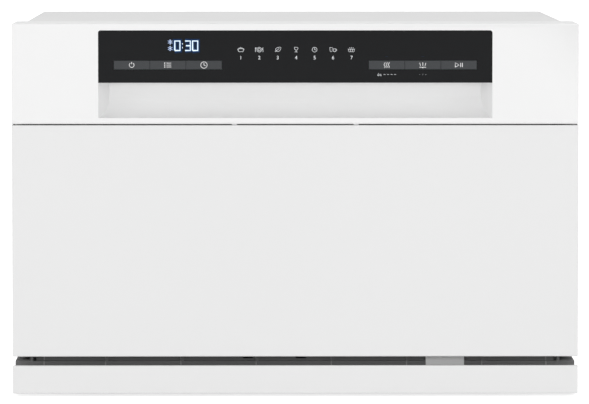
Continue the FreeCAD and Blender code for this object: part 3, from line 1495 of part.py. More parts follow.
DISPENSER_FACE = FIELD_FACE + C.flange_thick


def make_detergent_lid():
    """The sliding lid of the detergent cup."""
    body = new_body("detergent_lid")
    front = DISPENSER_FACE + C.rolling_gap
    lap = C.lid_lap
    low, high = C.cup_bottom - lap, C.cup_bottom + C.cup_height + lap
    right = C.cup_left + C.cup_width + lap
    add(body, "XZ", front, front + C.lid_thick, rect(C.cup_left - lap, low, right, high, size(3)))
    handle = rect(right - 14, low + 12, right - 9, high - 12, size(2))
    add(body, "XZ", front + C.lid_thick, front + C.lid_thick + 3, handle)
    return body


def make_rinse_cap():
    """The quarter-turn cap of the rinse aid port."""
    body = new_body("rinse_cap")
    front = DISPENSER_FACE + C.rolling_gap
    x, z, radius = C.cap_x, C.cap_level, C.cap_radius
    add(body, "XZ", front, front + 3, Circle(x, z, radius))
    add(body, "XZ", front - 12, front, Circle(x, z, radius - 4.5))
    add(body, "XZ", front + 3, front + 8, rect(x - radius + 2, z - 2, x + radius - 2, z + 2, size(1.9)))
    return body


# Rack


def wire_row(body, plane, low, high, first, last, level, count, radius):
    """Parallel wires between two levels, spread evenly from the first place to the last."""
    wire = add(body, plane, low, high, octagon(first, level, radius))
    axis = "X" if plane in ("XY", "XZ") else "Y"
    return repeat(body, wire, axis, count, last - first)


def make_rack_floor():
    """The floor of the rack: two layers of wires, and the clips of the folding rows."""
    body = new_body("rack_floor")
    bite = C.wire_radius
    half = C.rack_half - C.rim_radius
    wire_row(
        body,
        "XZ",
        C.rack_front + bite,
        C.rack_rear - bite,
        -RACK_ROW,
        RACK_ROW,
        C.rack_floor_level,
        C.wires_along,
        bite,
    )
    across = add(body, "YZ", -half, half, octagon(C.rack_front + 14, CROSS_LEVEL, bite))
    repeat(body, across, "Y", C.wires_across, C.rack_rear - C.rack_front - 28)
    reach = C.wire_radius + C.clip_wall
    low = CROSS_LEVEL - C.wire_radius
    for y in (C.tine_front_row, C.tine_rear_row):
        for x in (C.tine_left - 9, TINE_RIGHT + 5):
            add(body, "YZ", x, x + 4, rect(y - reach, C.rack_floor_level - 1, y + reach, PIVOT_LEVEL + reach))
            cut(body, "YZ", x, x + 4, Circle(y, PIVOT_LEVEL, C.wire_radius + C.pivot_fit))
            add(body, "YZ", x - 14, x + 24, octagon(y, low + C.wire_radius - 0.2, C.wire_radius))
    return body


RACK_ROW = C.rack_half - C.rim_radius - 2 * C.wire_radius
TINE_RADIUS = C.wire_radius - 0.1
TINE_RIGHT = C.tine_left + C.tine_pitch * (C.tine_count - 1)


def make_rack_wall(label, y):
    """The front or rear wall of the rack: upright wires under a rim wire."""
    body = new_body(label)
    rim = C.rack_rim_level
    wire_row(body, "XY", C.rack_floor_level - 2, rim, -RACK_ROW, RACK_ROW, y, C.wires_along, C.wire_radius)
    inward = C.wire_radius * 2 - C.weld_bite
    half = C.rack_half - inward - C.wire_radius
    shift = inward if y.value < 0 else -inward
    for level in WALL_LEVELS:
        add(body, "YZ", -half, half, octagon(y + shift, level, C.wire_radius))
    add(body, "YZ", -C.rack_half, C.rack_half, octagon(y, rim, C.rim_radius))
    return body


def outward(side, near, far):
    """Two places on the right side of the machine, or their mirror images on the left, lowest first."""
    return (near, far) if side > 0 else (-far, -near)


def make_rack_side(label, side):
    """The left or right wall of the rack: wires, rim, and the axle plates of the wheels."""
    body = new_body(label)
    x = C.rack_half * side
    rim = C.rack_rim_level
    start, end = C.rack_front + 14, C.rack_rear - 14
    upright = add(body, "XY", CROSS_LEVEL - 2, rim, octagon(x, start, C.wire_radius))
    repeat(body, upright, "Y", C.wires_across, end - start)
    shift = (C.wire_radius * 2 - C.weld_bite) * side
    near, far = C.rack_front + C.rim_radius + 0.2, C.rack_rear - C.rim_radius - 0.2
    for level in WALL_LEVELS:
        add(body, "XZ", near, far, octagon(x - shift, level, C.wire_radius))
    add(body, "XZ", near, far, octagon(x, rim, C.rim_radius))
    add(body, "XZ", near, far, octagon(x, CROSS_LEVEL, C.rim_radius))
    head_start = WHEEL_START + C.wheel_width + C.rolling_gap
    plate = outward(side, C.rack_half - 1.5, C.rack_half + 1.5)
    pin = outward(side, C.rack_half, head_start + 2)
    head = outward(side, head_start, head_start + 2)
    for y in (C.wheel_front, C.wheel_rear):
        add(body, "YZ", *plate, rect(y - 11, WHEEL_AXIS - 6, y + 11, CROSS_LEVEL + 12, size(3)))
        add(body, "YZ", *pin, Circle(y, WHEEL_AXIS, C.axle_radius))
        add(body, "YZ", *head, Circle(y, WHEEL_AXIS, C.axle_radius + 2))
    if side < 0:
        reach = C.wire_radius + C.clip_wall
        for y in (-C.shelf_length / 2 - 6, C.shelf_length / 2 + 2):
            plate = rect(x - shift, WALL_LEVELS[1] - 2, SHELF_X + reach, C.shelf_level + reach)
            add(body, "XZ", y, y + 4, plate)
            cut(body, "XZ", y, y + 4, Circle(SHELF_X, C.shelf_level, C.wire_radius + C.pivot_fit))
    return body


SHELF_X = -C.rack_half + C.rim_radius + C.wire_radius + 4


def make_wheels(label, y):
    """A pair of rack wheels on one axle line."""
    body = new_body(label)
    bore = C.axle_radius + C.wheel_fit
    wheel = add(
        body,
        "YZ",
        WHEEL_START,
        WHEEL_START + C.wheel_width,
        Circle(y, WHEEL_AXIS, C.wheel_radius),
        Circle(y, WHEEL_AXIS, bore),
    )
    reflect(body, [wheel], "YZ")
    return body


def make_tine_row(label, y):
    """A row of upright tines welded to the wire that they fold on."""
    body = new_body(label)
    add(body, "YZ", C.tine_left - 12, TINE_RIGHT + 12, Circle(y, PIVOT_LEVEL, C.wire_radius))
    tine = add(body, "XY", PIVOT_LEVEL, PIVOT_LEVEL + C.tine_height, octagon(C.tine_left, y, TINE_RADIUS))
    repeat(body, tine, "X", C.tine_count, C.tine_pitch * (C.tine_count - 1))
    return body


def make_cup_shelf():
    """The fold-up wire shelf for cups on the left wall of the rack."""
    body = new_body("cup_shelf")
    x, z, half = SHELF_X, C.shelf_level, C.shelf_length / 2
    add(body, "XZ", -half - 9, half + 9, Circle(x, z, C.wire_radius))
    add(body, "XZ", -half + 2, half - 2, octagon(x + C.shelf_reach, z, C.wire_radius))
    rung = add(body, "YZ", x, x + C.shelf_reach, octagon(-half + 2, z, TINE_RADIUS))
    repeat(body, rung, "Y", C.shelf_wires, C.shelf_length - 4)
    return body


def make_cutlery_basket():
    """The cutlery basket: an open moulded box with three cells, slotted sides and a carrying bar."""
    body = new_body("cutlery_basket")
    right = C.rack_half - C.rim_radius - C.wire_radius * 2 + C.weld_bite - 1
    left = right - C.cutlery_width
    low = CROSS_LEVEL + C.wire_radius + 0.1
    high = low + C.cutlery_height
    start = -C.cutlery_length / 2
    wall = C.cutlery_wall
    add(body, "XY", low, high, rect(left, start, right, -start, size(6)))
    cell = (C.cutlery_length - 4 * wall) / 3
    for step in range(3):
        y = start + wall + (cell + wall) * step
        cut(body, "XY", low + wall, high, rect(left + wall, y, right - wall, y + cell, size(4)))
    window = cut(body, "YZ", left, right, rect(start + 12, low + 14, start + 24, low + 52))
    repeat(body, window, "Y", 9, C.cutlery_length - 36)
    vent = cut(body, "XY", low, low + wall, rect(left + 10, start + 12, right - 10, start + 18))
    repeat(body, vent, "Y", 9, C.cutlery_length - 30)
    middle = (left + right) / 2
    add(body, "XZ", start + wall / 2, -start - wall / 2, rect(middle - 3, high - 4, middle + 3, high + 8))
    cut(body, "XZ", start + 14, -start - 14, rect(middle - 3, high - 4, middle + 3, high + 3))
    return body


def make_casing_screws():
    """The screws that hold the back panel to the base and the casing."""
    body = new_body("casing_screws")
    for x in (-CASING_HALF + 10, CASING_HALF - 10):
        for z in (C.casing_bottom + 14, C.height / 2, CASING_TOP - 12):
            add(body, "XZ", BACK, BACK + 2.4, hexagon(x, z, C.screw_head + 0.8))
    return body


def build_everything():
    """Makes every piece of the machine."""
    make_base_tray()
    make_plinth()
    make_plinth_clip()
    make_rubber_feet()
    make_outer_casing()
    make_back_panel()
    make_casing_screws()
    make_front_frame()
    make_latch_strike()
    make_tub_wrapper()
    make_tub_back()
    make_tub_floor()
    make_tub_seal()
    make_sump()
    make_filter_plate()
    make_micro_filter()
    make_spray_arm()
    make_softener()
    make_salt_cap()
    make_float()
    make_wash_pump()
    make_drain_pump()
    make_flow_heater()
    make_air_break()
    make_inlet_valve()
    make_drain_outlet()
    make_cord_gland()
    make_water_hoses()
    make_hinge_brackets()
    make_hinge_arms()
    make_door_springs()
    make_door_outer_panel()
    make_door_inner_panel()
    make_door_screws()
    make_control_panel()
    make_display_window()
    make_control_board()
    make_keys()
    make_latch_housing()
    make_latch_hook()
    make_dispenser_body()
    make_detergent_lid()
    make_rinse_cap()
    make_rack_floor()
    make_rack_wall("rack_front_wall", C.rack_front)
    make_rack_wall("rack_rear_wall", C.rack_rear)
    make_rack_side("rack_left_wall", -1)
    make_rack_side("rack_right_wall", 1)
    make_wheels("front_wheels", C.wheel_front)
    make_wheels("rear_wheels", C.wheel_rear)
    make_tine_row("front_tines", C.tine_front_row)
    make_tine_row("rear_tines", C.tine_rear_row)
    make_cup_shelf()
    make_cutlery_basket()


def check_and_export():
    """Stops on any failed feature or shape, then writes each piece to its own file."""
    DOC.recompute()
    failed = [o.Name for o in DOC.Objects if "Invalid" in o.State or "Error" in o.State]
    if failed:
        raise RuntimeError(f"features failed: {failed}")
    os.makedirs("parts", exist_ok=True)
    for piece in PIECES:
        if piece.Shape.isNull() or not piece.Shape.isValid():
            raise RuntimeError(f"bad shape: {piece.Label}")
    for piece in PIECES:
        piece.Shape.exportStep(f"parts/{piece.Label}.step")
        print(piece.Label, len(piece.Shape.Solids), round(piece.Shape.Volume / 1000, 2), "cm3")


build_everything()
check_and_export()
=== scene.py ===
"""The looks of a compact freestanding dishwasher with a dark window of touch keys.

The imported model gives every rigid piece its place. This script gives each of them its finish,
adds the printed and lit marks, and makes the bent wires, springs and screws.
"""

from __future__ import annotations

import json
import logging
import math
from dataclasses import dataclass, field
from enum import Enum
from typing import Iterable, Sequence

import bmesh
import bpy
from mathutils import Matrix, Vector

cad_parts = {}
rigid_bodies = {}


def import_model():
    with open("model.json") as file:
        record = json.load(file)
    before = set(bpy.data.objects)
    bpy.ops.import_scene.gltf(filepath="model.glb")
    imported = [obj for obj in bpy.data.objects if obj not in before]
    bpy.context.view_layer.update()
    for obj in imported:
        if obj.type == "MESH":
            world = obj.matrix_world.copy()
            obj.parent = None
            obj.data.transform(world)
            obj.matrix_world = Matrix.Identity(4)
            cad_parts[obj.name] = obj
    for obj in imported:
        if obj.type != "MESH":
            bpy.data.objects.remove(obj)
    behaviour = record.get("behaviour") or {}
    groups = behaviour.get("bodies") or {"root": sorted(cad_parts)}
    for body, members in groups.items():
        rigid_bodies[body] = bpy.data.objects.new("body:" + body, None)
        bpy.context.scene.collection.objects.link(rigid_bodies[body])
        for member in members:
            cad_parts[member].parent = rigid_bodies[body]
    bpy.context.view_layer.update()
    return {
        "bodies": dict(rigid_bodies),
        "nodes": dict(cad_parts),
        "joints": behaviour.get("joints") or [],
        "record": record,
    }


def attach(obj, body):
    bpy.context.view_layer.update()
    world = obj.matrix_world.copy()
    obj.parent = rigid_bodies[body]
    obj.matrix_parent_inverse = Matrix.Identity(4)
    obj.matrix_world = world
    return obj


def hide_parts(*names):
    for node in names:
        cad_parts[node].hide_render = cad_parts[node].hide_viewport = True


LOG = logging.getLogger("dishwasher")
MM = 0.001

Point = tuple[float, float]
Place = tuple[float, float, float]
Stroke = tuple[Point, ...]
Colour = tuple[float, float, float]


def tone(red: float, green: float, blue: float) -> Colour:
    """Turn a colour as seen on a screen, from 0 to 255, into the linear values that shaders take.

    Args:
        red: The red part, 0 to 255.
        green: The green part, 0 to 255.
        blue: The blue part, 0 to 255.

    Returns:
        The three linear values, 0 to 1.
    """
    parts = [value / 255 for value in (red, green, blue)]
    linear = [part / 12.92 if part < 0.0405 else ((part + 0.055) / 1.055) ** 2.4 for part in parts]
    return linear[0], linear[1], linear[2]


def grey(value: float) -> Colour:
    """Give the linear colour of a plain screen grey, 0 to 255."""
    return tone(value, value, value)


class Shader:
    """One material: its principled surface and the small node tree that feeds it."""

    def __init__(self, name: str) -> None:
        """Start an empty material.

        Args:
            name: The material's name.
        """
        self.material = bpy.data.materials.new(name)
        self.material.use_nodes = True
        self.tree = self.material.node_tree
        self.tree.nodes.clear()
        self.surface = self.tree.nodes.new("ShaderNodeBsdfPrincipled")
        self.output = self.tree.nodes.new("ShaderNodeOutputMaterial")
        self.tree.links.new(self.surface.outputs["BSDF"], self.output.inputs["Surface"])
        self.places = self.tree.nodes.new("ShaderNodeTexCoord").outputs["Object"]

    def plain(self, **values: float | tuple[float, ...]) -> None:
        """Set the surface's own sockets, whose names are given with underscores.

        Args:
            **values: Socket names in lower case, and their values.
        """
        for name, value in values.items():
            socket = self.surface.inputs[name.replace("_", " ").title().replace("Ior", "IOR")]
            socket.default_value = (*value, 1.0) if isinstance(value, tuple) else value

    def link(self, start: bpy.types.NodeSocket, end: bpy.types.NodeSocket) -> None:
        """Join two sockets."""
        self.tree.links.new(start, end)

    def noise(self, scale: float, detail: float = 2.0, stretch: Place = (1.0, 1.0, 1.0)) -> bpy.types.NodeSocket:
        """Make a noise over the object's own coordinates.

        Args:
            scale: How many lumps there are to a metre.
            detail: How many finer layers it has.
            stretch: A factor along each axis, above 1 for finer lumps that way.

        Returns:
            The socket with the noise, near 0.5.
        """
        texture = self.tree.nodes.new("ShaderNodeTexNoise")
        texture.inputs["Scale"].default_value = scale
        texture.inputs["Detail"].default_value = detail
        mapping = self.tree.nodes.new("ShaderNodeMapping")
        mapping.inputs["Scale"].default_value = stretch
        self.link(self.places, mapping.inputs["Vector"])
        self.link(mapping.outputs["Vector"], texture.inputs["Vector"])
        return texture.outputs["Fac"]

    def spread(self, source: bpy.types.NodeSocket, low: float, high: float) -> bpy.types.NodeSocket:
        """Map the middle of a noise onto a range.

        Args:
            source: The noise.
            low: The value where the noise is low.
            high: The value where the noise is high.

        Returns:
            The socket with the mapped value.
        """
        ramp = self.tree.nodes.new("ShaderNodeMapRange")
        ramp.inputs["From Min"].default_value = 0.3
        ramp.inputs["From Max"].default_value = 0.7
        ramp.inputs["To Min"].default_value = low
        ramp.inputs["To Max"].default_value = high
        self.link(source, ramp.inputs["Value"])
        return ramp.outputs["Result"]

    def between(self, source: bpy.types.NodeSocket, first: Colour, second: Colour) -> None:
        """Colour the surface between two colours.

        Args:
            source: A value from 0 to 1.
            first: The colour at 0.
            second: The colour at 1.
        """
        mix = self.tree.nodes.new("ShaderNodeMix")
        mix.data_type = "RGBA"
        mix.inputs["A"].default_value = (*first, 1.0)
        mix.inputs["B"].default_value = (*second, 1.0)
        self.link(source, mix.inputs["Factor"])
        self.link(mix.outputs["Result"], self.surface.inputs["Base Color"])

    def relief(self, source: bpy.types.NodeSocket, height: float) -> None:
        """Raise the surface by a noise.

        Args:
            source: The noise.
            height: How high it stands, in metres.
        """
        bump = self.tree.nodes.new("ShaderNodeBump")
        bump.inputs["Distance"].default_value = height
        self.link(source, bump.inputs["Height"])
        self.link(bump.outputs["Normal"], self.surface.inputs["Normal"])


def shade(colour: Colour, factor: float) -> Colour:
    """Make a colour lighter or darker by a factor."""
    return colour[0] * factor, colour[1] * factor, colour[2] * factor


@dataclass(frozen=True)
class PaintedSheet:
    """Smooth baked paint on steel sheet, with the faint orange peel of its spraying."""

    name: str
    colour: Colour
    roughness: float = 0.42
    peel: float = 0.000006

    def make(self) -> bpy.types.Material:
        """Build the material."""
        shader = Shader(self.name)
        drift = shader.spread(shader.noise(3.0, 1.0), 0.0, 1.0)
        shader.between(drift, shade(self.colour, 0.994), shade(self.colour, 1.006))
        shader.link(
            shader.spread(shader.noise(26.0, 3.0), self.roughness - 0.03, self.roughness + 0.03),
            shader.surface.inputs["Roughness"],
        )
        shader.relief(shader.noise(420.0, 2.0), self.peel)
        shader.plain(specular_ior_level=0.35)
        return shader.material


@dataclass(frozen=True)
class MouldedPlastic:
    """Moulded plastic with a fine spark grain and slow changes of gloss."""

    name: str
    colour: Colour
    roughness: float = 0.4
    grain: float = 0.000008
    grain_scale: float = 1500.0
    specular: float = 0.4
    variation: float = 0.02

    def make(self) -> bpy.types.Material:
        """Build the material."""
        shader = Shader(self.name)
        drift = shader.spread(shader.noise(9.0, 3.0), 0.0, 1.0)
        shader.between(drift, shade(self.colour, 1 - self.variation), shade(self.colour, 1 + self.variation))
        shader.link(
            shader.spread(shader.noise(60.0, 3.0), self.roughness - 0.04, self.roughness + 0.04),
            shader.surface.inputs["Roughness"],
        )
        shader.relief(shader.noise(self.grain_scale, 2.0), self.grain)
        shader.plain(specular_ior_level=self.specular)
        return shader.material


@dataclass(frozen=True)
class MilkyMoulding:
    """Natural polypropylene of tanks and valves, a little see-through."""

    name: str
    colour: Colour
    roughness: float = 0.38

    def make(self) -> bpy.types.Material:
        """Build the material."""
        shader = Shader(self.name)
        cloud = shader.spread(shader.noise(22.0, 4.0), 0.0, 1.0)
        shader.between(cloud, shade(self.colour, 0.96), shade(self.colour, 1.02))
        shader.relief(shader.noise(500.0, 3.0), 0.00001)
        shader.plain(roughness=self.roughness, subsurface_weight=0.18, subsurface_scale=0.004)
        return shader.material


@dataclass(frozen=True)
class BrushedSteel:
    """Stainless sheet with the fine lines of its brushing along one axis."""

    name: str
    colour: Colour
    roughness: float = 0.4
    along: Place = (0.03, 1.0, 1.0)

    def make(self) -> bpy.types.Material:
        """Build the material."""
        shader = Shader(self.name)
        lines = shader.noise(1400.0, 2.0, self.along)
        shader.between(shader.spread(lines, 0.0, 1.0), shade(self.colour, 0.97), shade(self.colour, 1.03))
        shader.link(
            shader.spread(shader.noise(500.0, 2.0, self.along), self.roughness - 0.02, self.roughness + 0.02),
            shader.surface.inputs["Roughness"],
        )
        shader.plain(metallic=1.0)
        return shader.material


@dataclass(frozen=True)
class ZincSteel:
    """Bright zinc plate, with the soft clouds that the bath leaves."""

    name: str
    colour: Colour
    roughness: float = 0.36

    def make(self) -> bpy.types.Material:
        """Build the material."""
        shader = Shader(self.name)
        cloud = shader.noise(130.0, 5.0)
        shader.between(shader.spread(cloud, 0.0, 1.0), shade(self.colour, 0.88), shade(self.colour, 1.08))
        shader.link(
            shader.spread(cloud, self.roughness - 0.08, self.roughness + 0.1), shader.surface.inputs["Roughness"]
        )
        shader.relief(shader.noise(900.0, 3.0), 0.000008)
        shader.plain(metallic=1.0)
        return shader.material


@dataclass(frozen=True)
class RubberSkin:
    """Dull rubber with a dusty bloom."""

    name: str
    colour: Colour
    roughness: float = 0.7

    def make(self) -> bpy.types.Material:
        """Build the material."""
        shader = Shader(self.name)
        bloom = shader.spread(shader.noise(55.0, 5.0), 0.0, 1.0)
        shader.between(bloom, shade(self.colour, 0.85), shade(self.colour, 1.3))
        shader.link(
            shader.spread(shader.noise(90.0, 3.0), self.roughness - 0.08, self.roughness + 0.12),
            shader.surface.inputs["Roughness"],
        )
        shader.relief(shader.noise(1300.0, 3.0), 0.00002)
        shader.plain(specular_ior_level=0.3)
        return shader.material


@dataclass(frozen=True)
class WireCoat:
    """The soft nylon coat of rack wire, thicker here and there."""

    name: str
    colour: Colour
    roughness: float = 0.36

    def make(self) -> bpy.types.Material:
        """Build the material."""
        shader = Shader(self.name)
        lumps = shader.noise(240.0, 2.0)
        shader.between(shader.spread(lumps, 0.0, 1.0), shade(self.colour, 0.95), shade(self.colour, 1.05))
        shader.relief(lumps, 0.00006)
        shader.plain(roughness=self.roughness, specular_ior_level=0.5, coat_weight=0.15, coat_roughness=0.25)
        return shader.material


@dataclass(frozen=True)
class BoardFinish:
    """A green circuit board with tracks under its lacquer."""

    name: str
    colour: Colour

    def make(self) -> bpy.types.Material:
        """Build the material."""
        shader = Shader(self.name)
        tracks = shader.tree.nodes.new("ShaderNodeTexBrick")
        tracks.inputs["Scale"].default_value = 55.0
        tracks.inputs["Mortar Size"].default_value = 0.035
        tracks.inputs["Color1"].default_value = (*self.colour, 1.0)
        tracks.inputs["Color2"].default_value = (*shade(self.colour, 1.15), 1.0)
        tracks.inputs["Mortar"].default_value = (*shade(self.colour, 1.9), 1.0)
        turned = shader.tree.nodes.new("ShaderNodeMapping")
        turned.inputs["Rotation"].default_value = (math.radians(90), 0.0, 0.0)
        shader.link(shader.places, turned.inputs["Vector"])
        shader.link(turned.outputs["Vector"], tracks.inputs["Vector"])
        shader.link(tracks.outputs["Color"], shader.surface.inputs["Base Color"])
        shader.relief(tracks.outputs["Fac"], 0.00003)
        shader.plain(roughness=0.3, coat_weight=0.4, coat_roughness=0.12)
        return shader.material


@dataclass(frozen=True)
class PrintedMark:
    """Screen printed ink, thin and a little uneven."""

    name: str
    colour: Colour

    def make(self) -> bpy.types.Material:
        """Build the material."""
        shader = Shader(self.name)
        cover = shader.spread(shader.noise(2600.0, 2.0), 0.0, 1.0)
        shader.between(cover, shade(self.colour, 0.93), shade(self.colour, 1.03))
        shader.plain(roughness=0.5, specular_ior_level=0.2)
        return shader.material


@dataclass(frozen=True)
class LampGlow:
    """Light through the window from the lamps behind it."""

    name: str
    colour: Colour
    strength: float = 1.0

    def make(self) -> bpy.types.Material:
        """Build the material, whose light varies a little from lamp to lamp."""
        shader = Shader(self.name)
        level = shader.spread(shader.noise(160.0, 1.0), self.strength * 0.96, self.strength * 1.04)
        shader.link(level, shader.surface.inputs["Emission Strength"])
        shader.plain(base_color=(0.002, 0.002, 0.002), emission_color=self.colour, roughness=0.6)
        shader.plain(specular_ior_level=0.0)
        return shader.material


Finish = (
    PaintedSheet
    | MouldedPlastic
    | MilkyMoulding
    | BrushedSteel
    | ZincSteel
    | RubberSkin
    | WireCoat
    | BoardFinish
    | PrintedMark
    | LampGlow
)

FINISHES: dict[str, Finish] = {
    "white_sheet": PaintedSheet("white_sheet", grey(232)),
    "white_moulding": MouldedPlastic(
        "white_moulding", grey(240), roughness=0.34, grain=0.000002, specular=0.35, variation=0.004
    ),
    "window_black": MouldedPlastic(
        "window_black", tone(15, 16, 18), roughness=0.2, grain=0.0000006, specular=0.14, variation=0.04
    ),
    "key_grey": MouldedPlastic("key_grey", tone(67, 69, 71), roughness=0.42, specular=0.16, variation=0.05),
    "base_grey": MouldedPlastic("base_grey", grey(122), roughness=0.55, grain=0.00002, grain_scale=900.0),
    # painted highlight: the ribs are the base moulding's grey made lighter, standing for the light that their edges
    # catch
    "base_rib_painted_highlight": MouldedPlastic("base_rib_painted_highlight", grey(160), roughness=0.5, grain=0.00001),
    "clip_grey": MouldedPlastic("clip_grey", grey(253), roughness=0.5, grain=0.00001),
    "light_grey_moulding": MouldedPlastic("light_grey_moulding", tone(196, 198, 200), roughness=0.42),
    "spray_grey": MouldedPlastic("spray_grey", tone(172, 174, 178), roughness=0.4),
    "basket_grey": MouldedPlastic("basket_grey", tone(148, 150, 154), roughness=0.45, grain=0.000012),
    "rack_coat": WireCoat("rack_coat", tone(160, 162, 166)),
    "stainless": BrushedSteel("stainless", tone(222, 222, 220)),
    "zinc_steel": ZincSteel("zinc_steel", tone(198, 200, 202)),
    "tank_white": MilkyMoulding("tank_white", tone(230, 229, 223)),
    "pump_black": MouldedPlastic("pump_black", tone(46, 47, 49), roughness=0.5, grain=0.00002, grain_scale=800.0),
    "hose_black": RubberSkin("hose_black", tone(44, 44, 46), roughness=0.6),
    "seal_grey": RubberSkin("seal_grey", tone(96, 97, 99), roughness=0.62),
    "black_rubber": RubberSkin("black_rubber", tone(38, 38, 38)),
    "board_green": BoardFinish("board_green", tone(24, 92, 60)),
    "cap_blue": MouldedPlastic("cap_blue", tone(58, 104, 160), roughness=0.32, specular=0.5),
    "window_print": PrintedMark("window_print", tone(244, 247, 250)),
    "key_print": PrintedMark("key_print", tone(250, 250, 250)),
    # painted shade: a near-black grey that stands for the shade inside the screws' cross recesses
    "screw_recess": MouldedPlastic("screw_recess", grey(40), roughness=0.6),
    "lamp_core": LampGlow("lamp_core", tone(232, 247, 255), 1.25),
    "lamp_rim": LampGlow("lamp_rim", tone(110, 146, 190), 1.0),
    "lamp_halo": LampGlow("lamp_halo", tone(34, 60, 104), 1.0),
    "lamp_faint": LampGlow("lamp_faint", tone(30, 42, 60), 1.0),
    "lamp_star": LampGlow("lamp_star", tone(206, 222, 250), 1.1),
}


class Palette:
    """Makes each finish once and hands it out."""

    def __init__(self) -> None:
        """Start with nothing made."""
        self.made: dict[str, bpy.types.Material] = {}

    def get(self, name: str) -> bpy.types.Material:
        """Give the material of a finish, made the first time it is asked for."""
        if name not in self.made:
            self.made[name] = FINISHES[name].make()
        return self.made[name]


class Workshop:
    """Turns meshes into finished pieces of the object."""

    def __init__(self, palette: Palette) -> None:
        """Keep the palette.

        Args:
            palette: Where the pieces' finishes come from.
        """
        self.palette = palette

    def piece(
        self,
        name: str,
        shape: bmesh.types.BMesh,
        finish: str,
        body: str,
        slot: str,
        replaces: Sequence[str] = (),
        smooth_angle: float = 35.0,
    ) -> bpy.types.Object:
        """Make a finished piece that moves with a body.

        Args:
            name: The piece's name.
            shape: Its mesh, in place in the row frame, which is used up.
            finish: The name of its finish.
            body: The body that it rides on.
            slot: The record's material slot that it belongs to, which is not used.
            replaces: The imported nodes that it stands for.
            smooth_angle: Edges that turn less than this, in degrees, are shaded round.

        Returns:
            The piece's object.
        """
        limit = math.radians(smooth_angle)
        for face in shape.faces:
            face.smooth = True
        for edge in shape.edges:
            edge.smooth = len(edge.link_faces) == 2 and edge.calc_face_angle(0.0) < limit
        mesh = bpy.data.meshes.new(name)
        shape.to_mesh(mesh)
        shape.free()
        mesh.materials.append(self.palette.get(finish))
        made = bpy.data.objects.new(name, mesh)
        bpy.context.scene.collection.objects.link(made)
        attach(made, body)
        if replaces:
            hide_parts(*replaces)
        LOG.info("%s: %d faces, rides on %s", name, len(mesh.polygons), body)
        return made


def swept(paths: Iterable[Sequence[Place]], radius: float, sides: int = 10, closed: bool = False,
          tips: bool = False) -> bmesh.types.BMesh:
    """Sweep a round section along one or more paths.

    Args:
        paths: The middle lines, each a list of places in metres.
        radius: The section's radius.
        sides: How many flat sides the section has, an even number.
        closed: Whether each path is a loop.
        tips: Whether the ends are rounded off.

    Returns:
        The mesh of all the tubes.
    """
    line = bpy.data.curves.new("line", "CURVE")
    line.dimensions = "3D"
    line.bevel_depth = radius
    line.bevel_resolution = max(0, sides // 2 - 2)
    line.use_fill_caps = not closed
    for path in paths:
        spots = rounded_tips(path, radius) if tips else [(place, 1.0) for place in path]
        spline = line.splines.new("POLY")
        spline.points.add(len(spots) - 1)
        for point, (place, swell) in zip(spline.points, spots):
            point.co = (*place, 1.0)
            point.radius = swell
        spline.use_cyclic_u = closed
    return as_bmesh(line)


def rounded_tips(path: Sequence[Place], radius: float) -> list[tuple[Place, float]]:
    """Add the shrinking rings of a dome at both ends of a path.

    Args:
        path: The middle line.
        radius: The tube's radius.

    Returns:
        The places with the share of the radius that each has.
    """
    spots = [(tuple(place), 1.0) for place in path]
    for at_start in (True, False):
        first, second = (spots[0][0], spots[1][0]) if at_start else (spots[-1][0], spots[-2][0])
        inward = (Vector(second) - Vector(first)).normalized() * radius
        dome = []
        for turn in (0.12, 0.45, 0.8, 1.2):
            swell = math.sin(turn)
            dome.append((tuple(Vector(first) + inward * (1 - math.cos(turn))), swell))
        dome.append((tuple(Vector(first) + inward), 1.0))
        spots = dome + spots[1:] if at_start else spots[:-1] + dome[::-1]
    return spots


def as_bmesh(line: bpy.types.Curve) -> bmesh.types.BMesh:
    """Turn curve data into a mesh and remove the curve.

    Args:
        line: The curve's data.

    Returns:
        Its mesh.
    """
    holder = bpy.data.objects.new("holder", line)
    bpy.context.scene.collection.objects.link(holder)
    bpy.context.view_layer.update()
    mesh = bpy.data.meshes.new_from_object(holder.evaluated_get(bpy.context.evaluated_depsgraph_get()))
    shape = bmesh.new()
    shape.from_mesh(mesh)
    bmesh.ops.remove_doubles(shape, verts=shape.verts, dist=0.0000005)
    bpy.data.objects.remove(holder)
    bpy.data.curves.remove(line)
    bpy.data.meshes.remove(mesh)
    return shape


def bent(corners: Sequence[Place], bend: float, closed: bool = False, steps: int = 6) -> list[Place]:
    """Round the corners of a wire's run with arcs.

    Args:
        corners: The corners of the run, in metres.
        bend: The radius of the middle line in each bend.
        closed: Whether the run is a loop.
        steps: How many straight bits each arc has.

    Returns:
        The places along the wire.
    """
    spots = [Vector(corner) for corner in corners]
    count = len(spots)
    line: list[Place] = []
    for i, corner in enumerate(spots):
        if not closed and i in (0, count - 1):
            line.append(tuple(corner))
            continue
        before = (spots[i - 1] - corner).normalized()
        after = (spots[(i + 1) % count] - corner).normalized()
        half = before.angle(after) / 2
        reach = bend / math.tan(half)
        middle = corner + (before + after).normalized() * (bend / math.sin(half))
        start = corner + before * reach - middle
        end = corner + after * reach - middle
        for step in range(steps + 1):
            line.append(tuple(middle + start.normalized().slerp(end.normalized(), step / steps) * bend))
    return line


def block(low: Place, high: Place, round_off: float = 0.0, segments: int = 2) -> bmesh.types.BMesh:
    """Make a block between two corners, with its edges rounded.

    Args:
        low: The lowest corner, in metres.
        high: The highest corner.
        round_off: The radius of its edges.
        segments: How many faces each rounded edge has.

    Returns:
        The mesh.
    """
    shape = bmesh.new()
    bmesh.ops.create_cube(shape, size=1.0)
    size = Vector(high) - Vector(low)
    bmesh.ops.scale(shape, verts=shape.verts, vec=size)
    bmesh.ops.translate(shape, verts=shape.verts, vec=(Vector(low) + Vector(high)) / 2)
    if round_off:
        bmesh.ops.bevel(
            shape, geom=list(shape.edges), offset=round_off, segments=segments, profile=0.5,
            affect="EDGES", material=-1, clamp_overlap=True,
        )
    return shape


